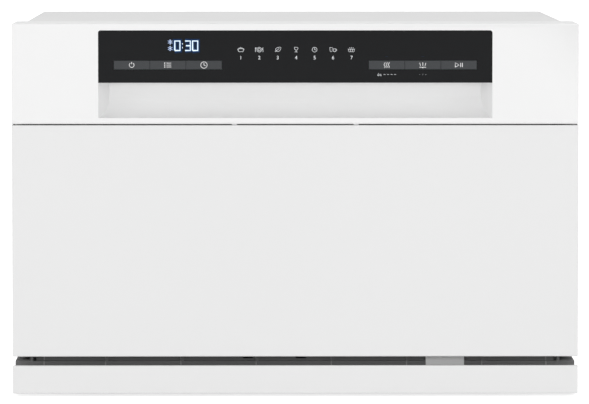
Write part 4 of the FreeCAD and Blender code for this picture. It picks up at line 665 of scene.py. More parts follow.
def lathed(profile: Sequence[Point], centre: Place, axis: str, steps: int = 40) -> bmesh.types.BMesh:
    """Spin a profile round a line.

    Args:
        profile: Pairs of place along the axis and distance from it, in metres.
        centre: The zero place on the axis.
        axis: The axis, X, Y or Z.
        steps: How many sides the round shape has.

    Returns:
        The closed mesh, its faces outwards.
    """
    frames = {"X": (Vector((1, 0, 0)), Vector((0, 0, 1))), "Y": (Vector((0, 1, 0)), Vector((0, 0, 1))),
              "Z": (Vector((0, 0, 1)), Vector((1, 0, 0)))}
    along, across = frames[axis]
    shape = bmesh.new()
    spots = [shape.verts.new(Vector(centre) + along * place + across * max(away, 0.0)) for place, away in profile]
    edges = [shape.edges.new(pair) for pair in zip(spots, spots[1:])]
    bmesh.ops.spin(
        shape, geom=spots + edges, cent=centre, axis=along, angle=math.tau, steps=steps, use_merge=True,
        use_duplicate=False, dvec=(0, 0, 0),
    )
    bmesh.ops.remove_doubles(shape, verts=shape.verts, dist=0.0000005)
    bmesh.ops.recalc_face_normals(shape, faces=shape.faces)
    return shape


def joined(shapes: Iterable[bmesh.types.BMesh]) -> bmesh.types.BMesh:
    """Put several meshes into one.

    Args:
        shapes: The meshes, which are used up.

    Returns:
        The one mesh.
    """
    whole = bmesh.new()
    for shape in shapes:
        part = bpy.data.meshes.new("part")
        shape.to_mesh(part)
        shape.free()
        whole.from_mesh(part)
        bpy.data.meshes.remove(part)
    return whole


def merged(node: bpy.types.Object) -> bmesh.types.BMesh:
    """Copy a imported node's loose triangles and join them into a closed mesh with whole flat faces.

    Args:
        node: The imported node, which stays as it is.

    Returns:
        The closed copy.
    """
    shape = bmesh.new()
    shape.from_mesh(node.data)
    bmesh.ops.remove_doubles(shape, verts=shape.verts, dist=0.000002)
    bmesh.ops.dissolve_limit(shape, angle_limit=math.radians(0.5), verts=shape.verts, edges=shape.edges)
    return shape


def carved(shape: bmesh.types.BMesh, tool: bmesh.types.BMesh) -> bmesh.types.BMesh:
    """Cut one closed mesh out of another.

    Args:
        shape: The mesh that is cut, which is used up.
        tool: The mesh that cuts, which is used up.

    Returns:
        What is left of the first mesh.
    """
    holders = []
    for source in (shape, tool):
        mesh = bpy.data.meshes.new("carving")
        source.to_mesh(mesh)
        source.free()
        holder = bpy.data.objects.new("carving", mesh)
        bpy.context.scene.collection.objects.link(holder)
        holders.append(holder)
    cut = holders[0].modifiers.new("cut", "BOOLEAN")
    cut.operation = "DIFFERENCE"
    cut.solver = "EXACT"
    cut.object = holders[1]
    bpy.context.view_layer.update()
    left = bpy.data.meshes.new_from_object(holders[0].evaluated_get(bpy.context.evaluated_depsgraph_get()))
    whole = bmesh.new()
    whole.from_mesh(left)
    used = [left] + [holder.data for holder in holders]
    for holder in holders:
        bpy.data.objects.remove(holder)
    for mesh in used:
        bpy.data.meshes.remove(mesh)
    return whole


def mirrored(shape: bmesh.types.BMesh) -> bmesh.types.BMesh:
    """Copy a mesh to the other side of the object and keep its faces outwards.

    Args:
        shape: The mesh, which stays.

    Returns:
        Its mirror image.
    """
    other = shape.copy()
    bmesh.ops.scale(other, verts=other.verts, vec=(-1, 1, 1))
    bmesh.ops.reverse_faces(other, faces=other.faces)
    return other


@dataclass
class Studio:
    """The camera at the photograph's place, a pale floor and soft light from the front."""

    distance: float = 4.599
    front: float = -0.25
    sight_level: float = 0.18974
    sight_side: float = -0.0008
    stand_left: float = 0.032
    tilt: float = math.radians(3.8)
    lens: float = 290.28
    sensor: float = 36.0
    floor_size: float = 90.0
    sky: float = 0.745

    def build(self) -> None:
        """Make the camera, the world, the floor and the lamps."""
        self.camera()
        self.world()
        self.floor()
        self.lamp("front_lamp", (0.0, -4.2, 0.55), (3.0, 0.6), 35.0)
        self.lamp("left_lamp", (-2.6, -1.8, 0.9), (1.2, 1.4), 8.0)
        self.lamp("right_lamp", (2.6, -1.8, 0.9), (1.2, 1.4), 8.0)

    def camera(self) -> None:
        """Put the camera where the photograph was taken from."""
        data = bpy.data.cameras.new("camera")
        data.lens = self.lens
        data.sensor_width = self.sensor
        data.sensor_fit = "HORIZONTAL"
        data.clip_end = 200.0
        camera = bpy.data.objects.new("camera", data)
        rise = self.distance * math.tan(self.tilt)
        camera.location = (self.sight_side - self.stand_left, self.front - self.distance, self.sight_level + rise)
        turn = math.atan(self.stand_left / self.distance)
        camera.rotation_euler = (math.radians(90) - self.tilt, 0.0, -turn)
        bpy.context.scene.collection.objects.link(camera)
        bpy.context.scene.camera = camera

    def seen_or_mirrored(self, tree: bpy.types.NodeTree) -> bpy.types.NodeSocket:
        """Give 1 for rays from the camera and for mirrored or clear ones, and 0 for light.

        Args:
            tree: The node tree to add to.

        Returns:
            The socket with the value.
        """
        rays = tree.nodes.new("ShaderNodeLightPath")
        value = rays.outputs["Is Camera Ray"]
        for name in ("Is Glossy Ray", "Is Transmission Ray"):
            largest = tree.nodes.new("ShaderNodeMath")
            largest.operation = "MAXIMUM"
            tree.links.new(value, largest.inputs[0])
            tree.links.new(rays.outputs[name], largest.inputs[1])
            value = largest.outputs["Value"]
        return value

    def world(self) -> None:
        """Make an even white sky, plain white where it is seen."""
        world = bpy.data.worlds.new("sky")
        bpy.context.scene.world = world
        world.use_nodes = True
        tree = world.node_tree
        background = tree.nodes["Background"]
        background.inputs["Color"].default_value = (1.0, 1.0, 1.0, 1.0)
        level = tree.nodes.new("ShaderNodeMapRange")
        level.inputs["To Min"].default_value = self.sky
        level.inputs["To Max"].default_value = 1.0
        tree.links.new(self.seen_or_mirrored(tree), level.inputs["Value"])
        tree.links.new(level.outputs["Result"], background.inputs["Strength"])
        bpy.context.scene.view_settings.view_transform = "Standard"

    def floor(self) -> None:
        """Lay a white floor that keeps the object's shadow, and none where it is seen from low down."""
        shape = bmesh.new()
        bmesh.ops.create_grid(shape, x_segments=1, y_segments=1, size=self.floor_size / 2)
        mesh = bpy.data.meshes.new("floor")
        shape.to_mesh(mesh)
        shape.free()
        material = bpy.data.materials.new("floor_white")
        material.use_nodes = True
        tree = material.node_tree
        tree.nodes.clear()
        matt = tree.nodes.new("ShaderNodeBsdfDiffuse")
        matt.inputs["Color"].default_value = (0.86, 0.86, 0.86, 1.0)
        lift = tree.nodes.new("ShaderNodeEmission")
        slant = tree.nodes.new("ShaderNodeLayerWeight")
        level = tree.nodes.new("ShaderNodeMapRange")
        level.inputs["From Min"].default_value, level.inputs["From Max"].default_value = 0.78, 0.93
        level.inputs["To Min"].default_value, level.inputs["To Max"].default_value = 0.42, 0.85
        tree.links.new(slant.outputs["Facing"], level.inputs["Value"])
        tree.links.new(level.outputs["Result"], lift.inputs["Strength"])
        both = tree.nodes.new("ShaderNodeAddShader")
        chosen = tree.nodes.new("ShaderNodeMixShader")
        output = tree.nodes.new("ShaderNodeOutputMaterial")
        tree.links.new(matt.outputs["BSDF"], both.inputs[0])
        tree.links.new(lift.outputs["Emission"], both.inputs[1])
        tree.links.new(self.seen_or_mirrored(tree), chosen.inputs[0])
        tree.links.new(matt.outputs["BSDF"], chosen.inputs[1])
        tree.links.new(both.outputs["Shader"], chosen.inputs[2])
        tree.links.new(chosen.outputs["Shader"], output.inputs["Surface"])
        mesh.materials.append(material)
        floor = bpy.data.objects.new("floor", mesh)
        bpy.context.scene.collection.objects.link(floor)

    def lamp(self, name: str, place: Place, size: Point, power: float) -> None:
        """Hang a soft box that looks at the machine.

        Args:
            name: The lamp's name.
            place: Where it hangs.
            size: Its width and height.
            power: Its power in watts.
        """
        data = bpy.data.lights.new(name, "AREA")
        data.shape = "RECTANGLE"
        data.size, data.size_y = size
        data.energy = power
        lamp = bpy.data.objects.new(name, data)
        lamp.location = place
        target = Vector((0.0, 0.0, 0.18))
        lamp.rotation_euler = (target - Vector(place)).to_track_quat("-Z", "Y").to_euler()
        lamp.visible_glossy = False
        bpy.context.scene.collection.objects.link(lamp)


def arc(x: float, y: float, radius: float, start: float = 0.0, end: float = 360.0) -> Stroke:
    """Draw part of a circle for a mark.

    Args:
        x: The middle's place to the right, in millimetres.
        y: The middle's place up.
        radius: The circle's radius.
        start: Where it starts, in degrees from the right.
        end: Where it ends.

    Returns:
        The points of the stroke.
    """
    count = max(6, int(abs(end - start) / 15))
    turns = [math.radians(start + (end - start) * step / count) for step in range(count + 1)]
    return tuple((x + radius * math.cos(turn), y + radius * math.sin(turn)) for turn in turns)


class Pictogram(Enum):
    """The small signs of the window, each a few strokes in millimetres about its middle."""

    POT = (
        ((-2.4, 0.9), (-2.4, -1.4), (-1.8, -2.0), (1.8, -2.0), (2.4, -1.4), (2.4, 0.9)),
        ((-3.0, 0.9), (3.0, 0.9)),
        ((-1.9, 1.5), (1.9, 1.5)),
        ((-0.5, 2.2), (0.5, 2.2)),
        ((-3.5, -0.1), (-2.4, -0.1)),
        ((2.4, -0.1), (3.5, -0.1)),
    )
    PLATE = (
        arc(0.0, 0.0, 2.3),
        arc(0.0, 0.0, 1.2),
        ((-3.7, -2.2), (-3.7, 2.2)),
        ((-3.1, 0.8), (-3.1, 2.2)),
        ((3.6, -2.2), (3.6, 2.2), (3.1, 1.2), (3.1, 0.0), (3.6, 0.0)),
    )
    LEAF = (
        ((-2.6, -2.2), (-1.6, -1.2), (1.6, 1.2)),
        ((-1.7, -1.3), (-2.2, 0.2), (-1.0, 1.8), (1.4, 2.4), (3.1, 2.3), (3.0, 0.6), (2.0, -1.0), (0.4, -1.8),
         (-1.7, -1.3)),
    )
    WINE_GLASS = (
        ((-1.6, 2.3), (-1.7, 0.9), (-1.0, -0.2), (0.0, -0.5), (1.0, -0.2), (1.7, 0.9), (1.6, 2.3), (-1.6, 2.3)),
        ((0.0, -0.5), (0.0, -2.1)),
        ((-1.3, -2.2), (1.3, -2.2)),
    )
    CLOCK = (arc(0.0, 0.0, 2.3), ((0.0, 1.5), (0.0, 0.0), (1.1, -0.5)))
    GLASS_AND_CUP = (
        ((-3.2, 2.0), (-2.7, -2.0), (-1.1, -2.0), (-0.6, 2.0), (-3.2, 2.0)),
        ((0.3, 0.8), (0.3, -1.2), (0.9, -2.0), (2.1, -2.0), (2.7, -1.2), (2.7, 0.8), (0.3, 0.8)),
        arc(2.7, -0.4, 0.8, -80.0, 80.0),
    )
    BASKET = (
        ((-3.0, 0.4), (-2.5, -2.1), (2.5, -2.1), (3.0, 0.4)),
        ((-3.3, 0.4), (3.3, 0.4)),
        ((-1.0, 0.4), (-0.8, -2.1)),
        ((1.0, 0.4), (0.8, -2.1)),
        ((-1.6, 1.2), (-1.6, 2.2)),
        ((0.0, 1.2), (0.0, 2.2)),
        ((1.6, 1.2), (1.6, 2.2)),
    )
    POWER = (arc(0.0, 0.0, 1.7, 125.0, 415.0), ((0.0, 0.6), (0.0, 2.3)))
    LIST = (
        ((-1.0, 1.4), (2.4, 1.4)),
        ((-1.0, 0.0), (2.4, 0.0)),
        ((-1.0, -1.4), (2.4, -1.4)),
        arc(-2.2, 1.4, 0.25),
        arc(-2.2, 0.0, 0.25),
        arc(-2.2, -1.4, 0.25),
    )
    WAVES = (
        tuple((-1.5 + 0.4 * math.sin(step * 1.05), -2.0 + step * 0.5) for step in range(9)),
        tuple((0.0 + 0.4 * math.sin(step * 1.05), -2.0 + step * 0.5) for step in range(9)),
        tuple((1.5 + 0.4 * math.sin(step * 1.05), -2.0 + step * 0.5) for step in range(9)),
    )
    SPRAY = (
        ((-2.4, -1.6), (2.4, -1.6)),
        ((0.0, -1.6), (0.0, -2.3)),
        ((-1.6, -0.6), (-2.2, 1.6)),
        ((0.0, -0.6), (0.0, 1.9)),
        ((1.6, -0.6), (2.2, 1.6)),
    )
    START = (
        ((-2.6, -1.6), (-2.6, 1.6), (0.2, 0.0), (-2.6, -1.6)),
        ((1.3, -1.5), (1.3, 1.5)),
        ((2.5, -1.5), (2.5, 1.5)),
    )
    STAR = (
        ((0.0, -1.9), (0.0, 1.9)),
        ((-1.7, -0.95), (1.7, 0.95)),
        ((-1.7, 0.95), (1.7, -0.95)),
        ((-0.6, 1.5), (0.0, 1.0), (0.6, 1.5)),
        ((-0.6, -1.5), (0.0, -1.0), (0.6, -1.5)),
    )
    DROPLETS = (
        arc(-1.2, -0.7, 0.9, 150.0, 390.0),
        ((-2.0, -0.25), (-1.2, 1.4), (-0.4, -0.25)),
        arc(1.5, -0.9, 0.7, 150.0, 390.0),
        ((0.9, -0.5), (1.5, 0.7), (2.1, -0.5)),
    )


SEGMENTS: dict[str, tuple[Stroke, ...]] = {
    "0": (((0, 0), (0, 1), (1, 1), (1, 0), (0, 0)),),
    "3": (((0, 1), (1, 1), (1, 0), (0, 0)), ((0.15, 0.5), (1, 0.5))),
}


@dataclass
class Pen:
    """Lays strokes as flat ribbons on a face that looks forwards."""

    workshop: Workshop
    width: float
    face: float
    body: str
    thick: float = 0.03

    def draw(self, name: str, strokes: Iterable[tuple[Stroke, Point]], finish: str, slot: str,
             scale: float = 1.0) -> bpy.types.Object:
        """Draw strokes, each about a middle of its own.

        Args:
            name: The piece's name.
            strokes: Each stroke with the middle that it is drawn about, in millimetres.
            finish: The finish of the marks.
            slot: The record's material slot of the face that they lie on.
            scale: A factor on the strokes' own sizes.

        Returns:
            The finished marks.
        """
        paths = []
        for stroke, (x, z) in strokes:
            paths.append([((x + right * scale) * MM, 0.0, (z + up * scale) * MM) for right, up in stroke])
        shape = swept(paths, self.width * MM / 2, sides=6)
        bmesh.ops.scale(shape, verts=shape.verts, vec=(1.0, self.thick / self.width, 1.0))
        bmesh.ops.translate(shape, verts=shape.verts, vec=(0.0, self.face * MM, 0.0))
        return self.workshop.piece(name, shape, finish, self.body, slot)


def at(sign: Pictogram, x: float, z: float) -> list[tuple[Stroke, Point]]:
    """Give the strokes of a sign about a middle.

    Args:
        sign: The sign.
        x: The middle's place to the right, in millimetres.
        z: The middle's height.

    Returns:
        Each stroke with its middle.
    """
    return [(stroke, (x, z)) for stroke in sign.value]


@dataclass
class ControlFascia:
    """The printed and lit marks of the dark window and of its six keys."""

    workshop: Workshop
    window_face: float = -249.8
    key_face: float = -250.0
    key_level: float = 322.7
    key_bank: float = 123.5
    key_pitch: float = 35.0
    rib_width: float = 0.28
    key_places: dict[str, float] = field(default_factory=lambda: {
        "power_key": -158.5, "programme_key": -123.5, "delay_key": -88.5,
        "dry_key": 88.5, "wash_key": 123.5, "start_key": 158.5,
    })
    key_signs: dict[str, Pictogram] = field(default_factory=lambda: {
        "power_key": Pictogram.POWER, "programme_key": Pictogram.LIST, "delay_key": Pictogram.CLOCK,
        "dry_key": Pictogram.WAVES, "wash_key": Pictogram.SPRAY, "start_key": Pictogram.START,
    })
    programmes: tuple[Pictogram, ...] = (
        Pictogram.POT, Pictogram.PLATE, Pictogram.LEAF, Pictogram.WINE_GLASS, Pictogram.CLOCK,
        Pictogram.GLASS_AND_CUP, Pictogram.BASKET,
    )
    programme_start: float = -52.8
    programme_pitch: float = 17.87
    sign_level: float = 337.6
    number_level: float = 329.7
    number_height: float = 3.4
    digit_size: Point = (5.0, 9.2)
    digit_low: float = 336.8
    digit_starts: tuple[float, float, float] = (-116.7, -106.7, -99.5)

    def build(self) -> None:
        """Lay every mark on the window and the keys."""
        self.display()
        self.programme_row()
        self.key_marks()
        self.small_marks()
        self.key_ribs()

    def key_ribs(self) -> None:
        """Fill the joints between the keys of a bank with the ribs that part them."""
        ribs = []
        for bank in (-self.key_bank, self.key_bank):
            for joint in (bank - self.key_pitch / 2, bank + self.key_pitch / 2):
                low = ((joint - self.rib_width / 2) * MM, self.key_face * MM, (self.key_level - 4.3) * MM)
                high = ((joint + self.rib_width / 2) * MM, (self.key_face + 2.0) * MM, (self.key_level + 4.3) * MM)
                ribs.append(block(low, high))
        self.workshop.piece("key_ribs", joined(ribs), "key_grey", "door", "key_grey")

    def window_pen(self, width: float, lift: float) -> Pen:
        """Give a pen for the window.

        Args:
            width: The width of its stroke, in millimetres.
            lift: How far it stands in front of the face.

        Returns:
            The pen.
        """
        return Pen(self.workshop, width, self.window_face - lift, "door")

    def display(self) -> None:
        """Light the time, its two dots and the lamps beside it, each with its halo."""
        wide, tall = self.digit_size
        strokes: list[tuple[Stroke, Point]] = []
        for figure, start in zip("030", self.digit_starts):
            for stroke in SEGMENTS[figure]:
                sized = tuple((right * wide, up * tall) for right, up in stroke)
                strokes.append((sized, (start, self.digit_low)))
        for level in (0.3, 0.7):
            dot = ((-0.3, 0.0), (0.3, 0.0))
            strokes.append((dot, (-109.3, self.digit_low + tall * level)))
        for width, lift, finish in ((6.4, 0.02, "lamp_faint"), (4.0, 0.05, "lamp_halo"), (1.9, 0.08, "lamp_rim"),
                                    (1.2, 0.11, "lamp_core")):
            self.window_pen(width, lift).draw(f"display_{finish}", strokes, finish, "window_black")
        stars = at(Pictogram.STAR, -121.2, 345.0) + at(Pictogram.STAR, -121.2, 338.7)
        self.window_pen(1.5, 0.04).draw("reserve_glow", stars, "lamp_halo", "window_black", 1.25)
        self.window_pen(0.5, 0.09).draw("reserve_lamps", stars, "lamp_star", "window_black", 1.25)

    def programme_row(self) -> None:
        """Print the seven programme signs and their numbers."""
        strokes: list[tuple[Stroke, Point]] = []
        for i, sign in enumerate(self.programmes):
            strokes += at(sign, self.programme_start + self.programme_pitch * i, self.sign_level)
        self.window_pen(0.38, 0.03).draw("programme_signs", strokes, "window_print", "window_black")
        numbers = [self.number(str(i + 1), self.programme_start + self.programme_pitch * i)
                   for i in range(len(self.programmes))]
        self.workshop.piece("programme_numbers", joined(numbers), "window_print", "door", "window_black")

    def number(self, text: str, x: float) -> bmesh.types.BMesh:
        """Set a plain number under its sign.

        Args:
            text: The number.
            x: Its middle, in millimetres.

        Returns:
            Its mesh, in place.
        """
        line = bpy.data.curves.new("number", "FONT")
        line.body = text
        line.size = self.number_height * MM * 1.45
        line.align_x, line.align_y = "CENTER", "CENTER"
        line.extrude = 0.00001
        shape = as_bmesh(line)
        turn = Matrix.Rotation(math.radians(90), 4, "X")
        bmesh.ops.transform(shape, matrix=turn, verts=shape.verts)
        place = Vector((x, self.window_face - 0.03, self.number_level)) * MM
        bmesh.ops.translate(shape, verts=shape.verts, vec=place)
        return shape

    def key_marks(self) -> None:
        """Print a sign on each key, which moves with its key."""
        for key, x in self.key_places.items():
            pen = Pen(self.workshop, 0.55, self.key_face - 0.03, key)
            pen.draw(f"{key}_sign", at(self.key_signs[key], x, self.key_level), "key_print", "key_grey", 1.35)

    def small_marks(self) -> None:
        """Print the dashes above the right keys and the signs and dots below them."""
        pen = self.window_pen(0.5, 0.03)
        lamps = [(((-1.3, 0.0), (1.3, 0.0)), (x, 330.9)) for x in (88.5, 123.5)]
        pen.draw("key_lamps", lamps, "lamp_faint", "window_black")
        fine = self.window_pen(0.36, 0.03)
        below = [(stroke, middle) for stroke, middle in at(Pictogram.DROPLETS, 81.5, 313.5)]
        below += [(((-1.1, 0.0), (1.1, 0.0)), (86.5 + step * 3.4, 313.5)) for step in range(4)]
        below += [(((-0.25, 0.0), (0.25, 0.0)), (120.5 + step * 3.0, 313.5)) for step in range(3)]
        fine.draw("option_marks", below, "window_print", "window_black", 0.8)


@dataclass
class GripPanel:
    """The moulded control panel, whose scooped grip ends in slanting cheeks."""

    workshop: Workshop
    panel: bpy.types.Object
    front: float = -250.0
    depth: float = 28.0
    half: float = 191.0
    draft: float = 10.0
    bottom: float = 271.4
    top: float = 305.49
    sweep: float = 26.0
    overlap: float = 0.03
    steps: int = 14
    lip_low: float = 264.3
    lip_radius: float = 4.0
    lip_half: float = 276.0

    def build(self) -> None:
        """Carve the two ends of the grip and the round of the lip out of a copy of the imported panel."""
        right = self.end_room()
        left = mirrored(right)
        shape = carved(carved(carved(merged(self.panel), right), left), self.lip_waste())
        self.workshop.piece("control_panel_moulding", shape, "white_moulding", "door", "white_moulding",
                            ["control_panel"], 30.0)

    def half_width(self, y: float) -> float:
        """Give the distance of the slanting cheek from the middle, at a depth."""
        return self.half - self.draft * (y - self.front) / self.depth

    def lip_waste(self) -> bmesh.types.BMesh:
        """Make what the round of the lower edge leaves away, over the whole width.

        Returns:
            The closed bar outside the round.
        """
        y, z, radius = self.front + self.lip_radius, self.lip_low + self.lip_radius, self.lip_radius
        line = [(self.front - 1.0, z), (self.front - 1.0, self.lip_low - 1.0), (y, self.lip_low - 1.0)]
        for step in range(self.steps + 1):
            turn = math.pi / 2 * step / self.steps
            line.append((y - radius * math.sin(turn), z - radius * math.cos(turn)))
        shape = bmesh.new()
        side = shape.faces.new([shape.verts.new((-self.lip_half * MM, y * MM, z * MM)) for y, z in line])
        grown = bmesh.ops.extrude_face_region(shape, geom=[side])
        far = [spot for spot in grown["geom"] if isinstance(spot, bmesh.types.BMVert)]
        bmesh.ops.translate(shape, verts=far, vec=(2 * self.lip_half * MM, 0.0, 0.0))
        bmesh.ops.recalc_face_normals(shape, faces=shape.faces)
        return shape

    def end_room(self) -> bmesh.types.BMesh:
        """Make the room at the right end of the grip, under its swept floor line.

        Returns:
            The closed room, from the straight part of the grip to the slanting cheek.
        """
        low, rear = self.bottom - self.overlap, self.front + self.depth + self.overlap
        sweep = self.sweep + self.overlap
        line = [(self.front - 1.0, self.top), (self.front - 1.0, low)]
        for step in range(self.steps + 1):
            turn = math.pi / 2 * step / self.steps
            line.append((rear - sweep + sweep * math.sin(turn), low + sweep - sweep * math.cos(turn)))
        line.append((rear, self.top))
        shape = bmesh.new()
        side = shape.faces.new([shape.verts.new((0.0, y * MM, z * MM)) for y, z in line])
        grown = bmesh.ops.extrude_face_region(shape, geom=[side])
        far = {spot for spot in grown["geom"] if isinstance(spot, bmesh.types.BMVert)}
        start = self.half_width(self.front + self.depth) - self.overlap
        for spot in shape.verts:
            spot.co.x = (self.half_width(spot.co.y / MM) if spot in far else start) * MM
        bmesh.ops.recalc_face_normals(shape, faces=shape.faces)
        return shape


@dataclass
class Screws:
    """The screws of the back panel and the door, with a domed head and a cross recess."""

    workshop: Workshop
    back: float = 236.0
    casing_half: float = 257.7
    casing_levels: tuple[float, float, float] = (24.0, 181.5, 350.0)
    casing_head: Point = (2.4, 4.0)
    door_start: float = -212.2
    door_spots: tuple[Point, ...] = ((268.0, 178.0), (268.0, 237.0), (265.0, 290.0), (265.0, 323.0))
    door_head: Point = (2.2, 3.2)

    def build(self) -> None:
        """Set the screws of the back panel and those of the inner door."""
        casing = [(x, z) for x in (-self.casing_half, self.casing_half) for z in self.casing_levels]
        door = [(x * side, z) for side in (-1, 1) for x, z in self.door_spots]
        for name, spots, start, size, body in (
            ("casing_screws", casing, self.back, self.casing_head, "cabinet"),
            ("door_screws", door, self.door_start, self.door_head, "door"),
        ):
            heads = joined(self.head((x, start, z), *size) for x, z in spots)
            self.workshop.piece(f"{name}_turned", heads, "zinc_steel", body, "zinc_steel", [name], 25.0)

    def head(self, place: Place, height: float, radius: float) -> bmesh.types.BMesh:
        """Turn one screw head that looks backwards and press its cross into it.

        Args:
            place: The middle of its seat, in millimetres.
            height: How far it stands proud.
            radius: Its radius.

        Returns:
            The head.
        """
        dome = [(height * math.sin(turn), radius * math.cos(turn) ** 0.6) for turn in
                (math.pi / 2 * step / 6 for step in range(1, 6))]
        profile = [(0.0, 0.0), (0.0, radius), *dome, (height, 0.0)]
        centre = tuple(value * MM for value in place)
        shape = lathed([(along * MM, away * MM) for along, away in profile], centre, "Y", 24)
        reach, half, deep = radius * 0.55, radius * 0.11, height * 0.45
        for across, up in ((reach, half), (half, reach)):
            low = ((place[0] - across) * MM, (place[1] + height - deep) * MM, (place[2] - up) * MM)
            high = ((place[0] + across) * MM, (place[1] + height + 1.0) * MM, (place[2] + up) * MM)
            shape = carved(shape, block(low, high))
        return shape


@dataclass
class Rack:
    """The basket of bent and coated wire, its folding rows, its shelf and its wheels."""

    workshop: Workshop
    half: float = 218.0
    front: float = -176.0
    rear: float = 186.0
    floor_level: float = 112.0
    rim_level: float = 246.0
    wire: float = 2.0
    rim_wire: float = 2.5
    bite: float = 0.3
    along_count: int = 10
    across_count: int = 9
    inset: float = 14.0
    wheel_axis: float = 100.3
    wheel_start: float = 222.0
    wheel_width: float = 7.0
    wheel_radius: float = 11.0
    axle_radius: float = 2.5
    wheel_rows: dict[str, float] = field(default_factory=lambda: {"front_wheels": -124.0, "rear_wheels": 140.0})
    tine_rows: dict[str, float] = field(default_factory=lambda: {"front_tines": -66.0, "rear_tines": 64.0})
    tine_left: float = -190.0
    tine_pitch: float = 28.0
    tine_count: int = 9
    tine_height: float = 62.0
    shelf_level: float = 214.0
    shelf_reach: float = 84.0
    shelf_length: float = 190.0
    shelf_wires: int = 7

    def build(self) -> None:
        """Make the wire work and everything that hangs on it."""
        self.cross_level = self.floor_level + 2 * self.wire - self.bite
        self.pivot_level = self.cross_level + 2 * self.wire + 2.5
        self.basket()
        for name, y in self.tine_rows.items():
            self.tine_row(name, y)
        self.shelf()
        for name, y in self.wheel_rows.items():
            self.wheels(name, y)

    def spread(self, first: float, last: float, count: int) -> list[float]:
        """Space places evenly from the first to the last."""
        return [first + (last - first) * i / (count - 1) for i in range(count)]

    def metres(self, places: Iterable[Place]) -> list[Place]:
        """Turn places in millimetres into metres."""
        return [(x * MM, y * MM, z * MM) for x, y, z in places]

    def basket(self) -> None:
        """Bend the wires that form the floor and the walls, and close them with rings."""
        row = self.half - self.rim_wire - 2 * self.wire
        wires = []
        for x in self.spread(-row, row, self.along_count):
            run = [(x, self.front, self.rim_level), (x, self.front, self.floor_level),
                   (x, self.rear, self.floor_level), (x, self.rear, self.rim_level)]
            wires.append(bent(self.metres(run), 9.0 * MM))
        for y in self.spread(self.front + self.inset, self.rear - self.inset, self.across_count):
            run = [(-self.half, y, self.rim_level), (-self.half, y, self.cross_level),
                   (self.half, y, self.cross_level), (self.half, y, self.rim_level)]
            wires.append(bent(self.metres(run), 5.0 * MM))
        floor = swept(wires, self.wire * MM)
        self.workshop.piece("rack_wires", floor, "rack_coat", "rack", "rack_coat", ["rack_floor"])
        inward = 2 * self.wire - self.bite
        levels = [self.floor_level + (self.rim_level - self.floor_level) * share for share in (1 / 3, 2 / 3)]
        rings = swept([self.ring(inward, level, 12.0) for level in levels], self.wire * MM, closed=True)
        rim = swept([self.ring(0.0, self.rim_level, 15.0)], self.rim_wire * MM, sides=12, closed=True)
        front = joined([rings, rim])
        self.workshop.piece("rack_rings", front, "rack_coat", "rack", "rack_coat",
                            ["rack_front_wall", "rack_rear_wall"])
        self.side_fittings(levels)
        self.clips()

    def ring(self, inward: float, level: float, bend: float) -> list[Place]:
        """Lay a closed wire round the basket.

        Args:
            inward: How far inside the basket's outline it lies, in millimetres.
            level: Its height.
            bend: The radius of its corners.

        Returns:
            The places along it, in metres.
        """
        x, front, rear = self.half - inward, self.front + inward, self.rear - inward
        run = [(-x, front, level), (x, front, level), (x, rear, level), (-x, rear, level)]
        return bent(self.metres(run), bend * MM, closed=True)

    def side_fittings(self, levels: Sequence[float]) -> None:
        """Make the lower rails, the axle plates with their pins and the shelf's bearings.

        Args:
            levels: The heights of the rings, in millimetres.
        """
        rails, plates = [], []
        head_start = self.wheel_start + self.wheel_width + 0.3
        for side in (-1, 1):
            x = self.half * side
            run = self.metres([(x, self.front + 3, self.cross_level), (x, self.rear - 3, self.cross_level)])
            rails.append(swept([run], self.rim_wire * MM, tips=True))
            for y in self.wheel_rows.values():
                low = ((x - 1.5) * MM, (y - 11) * MM, (self.wheel_axis - 6) * MM)
                high = ((x + 1.5) * MM, (y + 11) * MM, (self.cross_level + 12) * MM)
                plates.append(block(low, high, 1.2 * MM))
                pin = [(0.0, 0.0), (0.0, self.axle_radius), (head_start - self.half, self.axle_radius),
                       (head_start - self.half, self.axle_radius + 2), (head_start - self.half + 1.2,
                       self.axle_radius + 2), (head_start - self.half + 2, self.axle_radius + 1), (
                       head_start - self.half + 2, 0.0)]
                profile = [(along * MM * side, away * MM) for along, away in pin]
                plates.append(lathed(profile, (x * MM, y * MM, self.wheel_axis * MM), "X", 24))
        rail_x = -self.half + self.rim_wire + self.wire + 4
        for y in (-self.shelf_length / 2 - 6, self.shelf_length / 2 + 2):
            low = ((-self.half + 1.7) * MM, y * MM, (levels[1] - 2) * MM)
            high = ((rail_x + 4.5) * MM, (y + 4) * MM, (self.shelf_level + 4.5) * MM)
            plates.append(block(low, high, 1.4 * MM))
        self.workshop.piece("rack_rails", joined(rails), "rack_coat", "rack", "rack_coat", ["rack_left_wall"])
        self.workshop.piece("rack_axles", joined(plates), "basket_grey", "rack", "rack_coat", ["rack_right_wall"])

    def clips(self) -> None:
        """Make the snap clips in which the folding rows turn, each on a short wire of its own."""
        blocks, wires = [], []
        right = self.tine_left + self.tine_pitch * (self.tine_count - 1)
        for y in self.tine_rows.values():
            for x in (self.tine_left - 9, right + 5):
                low = (x * MM, (y - 4.5) * MM, (self.floor_level - 1) * MM)
                high = ((x + 4) * MM, (y + 4.5) * MM, (self.pivot_level + 4.5) * MM)
                blocks.append(block(low, high, 1.3 * MM))
                wires.append(self.metres([(x - 14, y, self.cross_level - 0.2), (x + 24, y, self.cross_level - 0.2)]))
        self.workshop.piece("tine_clips", joined(blocks), "basket_grey", "rack", "rack_coat")
        self.workshop.piece("clip_wires", swept(wires, self.wire * MM, tips=True), "rack_coat", "rack", "rack_coat")

